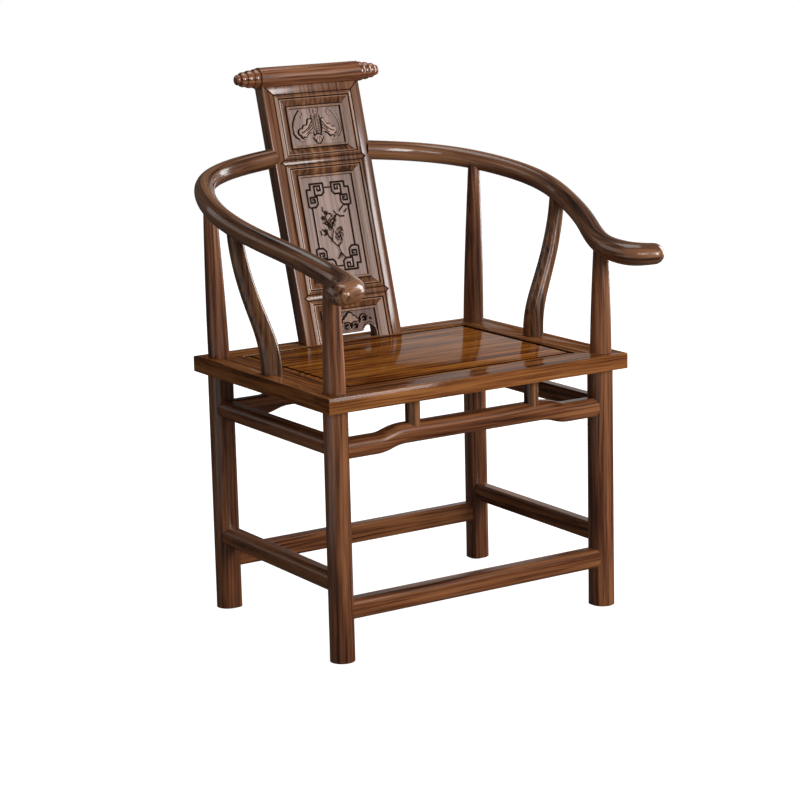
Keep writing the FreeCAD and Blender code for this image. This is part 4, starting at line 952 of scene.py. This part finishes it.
class ARMCHAIR_OT_stage(bpy.types.Operator):
    """Make the floor, the lamps, the world and the camera"""
    bl_idname = "armchair.stage"
    bl_label = "Stage"

    def execute(self, context):
        context.scene.view_settings.view_transform = "Standard"
        self.world(context.scene)
        self.floor()
        self.cards()
        self.lamps(context.scene)
        self.camera(context.scene)
        return {"FINISHED"}

    def world(self, scene):
        world = bpy.data.worlds.new("studio")
        world.use_nodes = True
        tree = world.node_tree
        strength = node(tree, "ShaderNodeMapRange", {"Value": seen_ray(tree), "To Min": 0.2,
                                                     "To Max": 1.0})
        fill(tree.nodes["Background"], {"Color": (1, 1, 1, 1), "Strength": strength})
        scene.world = world

    def floor(self):
        mesh = bpy.data.meshes.new("floor")
        reach = FLOOR_REACH
        mesh.from_pydata([(-reach, -reach, 0), (reach, -reach, 0), (reach, reach, 0),
                          (-reach, reach, 0)], [], [(0, 1, 2, 3)])
        made, tree, shader = material("pale_floor")
        # seen by the camera or in the lacquer, the floor is as white as the backdrop
        place = node(tree, "ShaderNodeTexCoord").outputs["Object"]
        away = node(tree, "ShaderNodeVectorMath", {0: place}, operation="LENGTH").outputs["Value"]
        white = node(tree, "ShaderNodeMapRange", {"Value": away, "From Min": 0.6, "From Max": 1.8,
                                                  "To Min": 0.92, "To Max": 1.0})
        glow = node(tree, "ShaderNodeMath", {0: seen_ray(tree), 1: white}, operation="MULTIPLY")
        fill(shader, {"Base Color": linear("#a4a4a4"), "Roughness": 0.9, "Specular IOR Level": 0.0,
                      "Emission Color": (1, 1, 1, 1), "Emission Strength": glow})
        mesh.materials.append(made)
        link("floor", mesh)

    def cards(self):
        """A dark box, with cards in it."""
        bm = bmesh.new()
        bmesh.ops.create_cube(bm, size=2 * WALLS_REACH)
        for face in bm.faces:
            face.material_index = int(face.calc_center_median().x < -WALLS_REACH / 2)
        bmesh.ops.translate(bm, verts=bm.verts, vec=(0, 0, WALLS_REACH + 0.2 * MM))
        for index, (_, _, _, place, wide, high) in enumerate(CARDS, len(WALLS)):
            card = bmesh.ops.create_grid(bm, x_segments=1, y_segments=1, size=0.5)["verts"]
            turn = aimed(CARDS_AIM - Vector(place), "Z")
            if place[2] < 1 * MM:
                turn = Matrix.Rotation(CARD_TURN, 4, "Z")
            size = Matrix.Diagonal((wide, high, 1.0, 1.0))
            bmesh.ops.transform(bm, verts=card, matrix=Matrix.Translation(place) @ turn @ size)
            for face in card[0].link_faces:
                face.material_index = index
        mesh = bpy.data.meshes.new("cards")
        bm.to_mesh(mesh)
        bm.free()
        for name, code, strength, *_ in WALLS + CARDS:
            made, _, shader = material(name)
            fill(shader, {"Base Color": linear("#000000"), "Specular IOR Level": 0.0,
                          "Emission Color": linear(code), "Emission Strength": strength})
            mesh.materials.append(made)
        cards = link("cards", mesh)
        cards.visible_camera = False
        cards.visible_diffuse = False
        cards.visible_shadow = False
        cards.visible_transmission = False

    def lamps(self, scene):
        for name, place, aim, size, power in LAMPS:
            lamp = bpy.data.lights.new(name, "AREA")
            lamp.shape = "RECTANGLE"
            lamp.size, lamp.size_y = size
            lamp.energy = power
            obj = bpy.data.objects.new(name, lamp)
            scene.collection.objects.link(obj)
            way = Vector(aim) - Vector(place)
            obj.matrix_world = Matrix.Translation(place) @ aimed(way, "-Z")

    def camera(self, scene):
        data = bpy.data.cameras.new("camera")
        data.sensor_width = 36.0
        data.lens = CAMERA_LENS
        axes = camera_axes(*(math.radians(angle) for angle in CAMERA_TURN))
        obj = bpy.data.objects.new("camera", data)
        turn = Matrix(axes).transposed().to_4x4()
        obj.matrix_world = Matrix.Translation(CAMERA_PLACE) @ turn
        scene.collection.objects.link(obj)
        scene.camera = obj


class ARMCHAIR_OT_seat(bpy.types.Operator):
    """Dress the seat frame, its panel and the battens"""
    bl_idname = "armchair.seat"
    bl_label = "Seat"

    def execute(self, context):
        edge = context.scene.armchair.edge
        dress(("seat_rail_front", "seat_rail_back"), "seat_frame", edge)
        dress(both("seat_rail_{}"), "seat_frame_side", edge)
        dress(both("seat_batten_{}"), "fore_and_aft", edge)
        dress(("seat_panel",), "seat_panel", edge, "seat_panel_wood")
        # painted shade, with old wax, in the groove round the panel
        finished(seat_groove(), "wax_and_painted_shade", "seat_panel_wood")
        return {"FINISHED"}


class ARMCHAIR_OT_legs(bpy.types.Operator):
    """Dress the legs, the side posts and the struts"""
    bl_idname = "armchair.legs"
    bl_label = "Legs and posts"

    def execute(self, context):
        dress(both("leg_front_{}") + both("leg_back_{}"), "upright")
        dress(both("side_post_{}") + both("strut_front_{}") + both("strut_back_{}"), "post")
        return {"FINISHED"}


class ARMCHAIR_OT_rail(bpy.types.Operator):
    """Dress the horseshoe arm rail"""
    bl_idname = "armchair.rail"
    bl_label = "Arm rail"

    def execute(self, context):
        settings = context.scene.armchair
        tree = sweep_tree()
        for side, word in ((-1, "left"), (1, "right")):
            rail = swept_rail("horseshoe_rail_" + word, side, tree, settings.rail_rings,
                              settings.rail_sides)
            finished(rail, "rail", "frame_wood", "crest_rail_" + word, "arm_rail_" + word)
        dress(("rail_scarf_pegs",), "fore_and_aft")
        return {"FINISHED"}


class ARMCHAIR_OT_splat(bpy.types.Operator):
    """Dress the splat's frame and its three panels"""
    bl_idname = "armchair.splat"
    bl_label = "Splat"

    def execute(self, context):
        settings = context.scene.armchair
        for name in both("splat_stile_{}") + ["splat_lower_rail", "splat_upper_rail",
                                              "splat_top_rail"]:
            whole = eased(name, settings.fine_edge, settings.arris, SPLAT_HALF * MM - MERGE)
            finished(without_moulding(whole), "splat", "frame_wood", name)
        for field in FIELDS:
            finished(moulding(field), "splat", "frame_wood")
        finished(joint_lines(), "wax_and_painted_shade", "frame_wood")
        open_work = [(-PANEL_HALF, -CUTOUT_FOOT, BOTTOM_FOOT), (-CUTOUT_FOOT, CUTOUT_FOOT, None),
                     (CUTOUT_FOOT, PANEL_HALF, BOTTOM_FOOT)]
        for name, wood_name, top, carving, parts, pitch in (
                ("splat_bottom_panel", "splat_foot_shaded", BOTTOM_TOP, bottom_carving(), open_work,
                 PITCH),
                ("splat_middle_panel", "splat_panel", MIDDLE_TOP, middle_carving(),
                 [(-PANEL_HALF, PANEL_HALF, MIDDLE_FOOT)], WIDE_PITCH),
                ("splat_top_panel", "splat_panel", TOP_TOP, top_carving(),
                 [(-PANEL_HALF, PANEL_HALF, TOP_FOOT)], PITCH)):
            obj = carved_panel(name, top, carving, parts, pitch)
            finished(obj, wood_name, "splat_panel_wood", name)
        return {"FINISHED"}


class ARMCHAIR_OT_scroll(bpy.types.Operator):
    """Dress the scroll rail on top of the splat"""
    bl_idname = "armchair.scroll"
    bl_label = "Head scroll"

    def execute(self, context):
        dress(("head_scroll",), "scroll")
        return {"FINISHED"}


class ARMCHAIR_OT_stretchers(bpy.types.Operator):
    """Dress the humpback bars, the foot rail and the other stretchers"""
    bl_idname = "armchair.stretchers"
    bl_label = "Stretchers"

    def execute(self, context):
        dress(("humpback_stretcher_front", "humpback_stretcher_back", "foot_rail_front",
               "stretcher_lower_back"), "across")
        dress(both("stretcher_upper_{}") + both("stretcher_lower_{}"), "fore_and_aft")
        return {"FINISHED"}


OPERATORS = (ARMCHAIR_OT_stage, ARMCHAIR_OT_seat, ARMCHAIR_OT_legs, ARMCHAIR_OT_rail,
             ARMCHAIR_OT_splat, ARMCHAIR_OT_scroll, ARMCHAIR_OT_stretchers)


class ARMCHAIR_PT_panel(bpy.types.Panel):
    """Lists the chair's pieces"""
    bl_idname = "ARMCHAIR_PT_panel"
    bl_label = "Horseshoe back armchair"
    bl_space_type = "VIEW_3D"
    bl_region_type = "UI"
    bl_category = "Armchair"

    def draw(self, context):
        settings = context.scene.armchair
        for name in settings.bl_rna.properties.keys():
            if name not in ("rna_type", "name"):
                self.layout.prop(settings, name)
        for operator in OPERATORS:
            self.layout.operator(operator.bl_idname)


CLASSES = (ArmchairSettings,) + OPERATORS + (ARMCHAIR_PT_panel,)


def register():
    for cls in CLASSES:
        bpy.utils.register_class(cls)
    bpy.types.Scene.armchair = bpy.props.PointerProperty(type=ArmchairSettings)


def unregister():
    del bpy.types.Scene.armchair
    for cls in reversed(CLASSES):
        bpy.utils.unregister_class(cls)


def main():
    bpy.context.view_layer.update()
    register()
    bpy.ops.armchair.stage()
    bpy.ops.armchair.seat()
    bpy.ops.armchair.legs()
    bpy.ops.armchair.rail()
    bpy.ops.armchair.splat()
    bpy.ops.armchair.scroll()
    bpy.ops.armchair.stretchers()


if __name__ == "__main__":
    main()
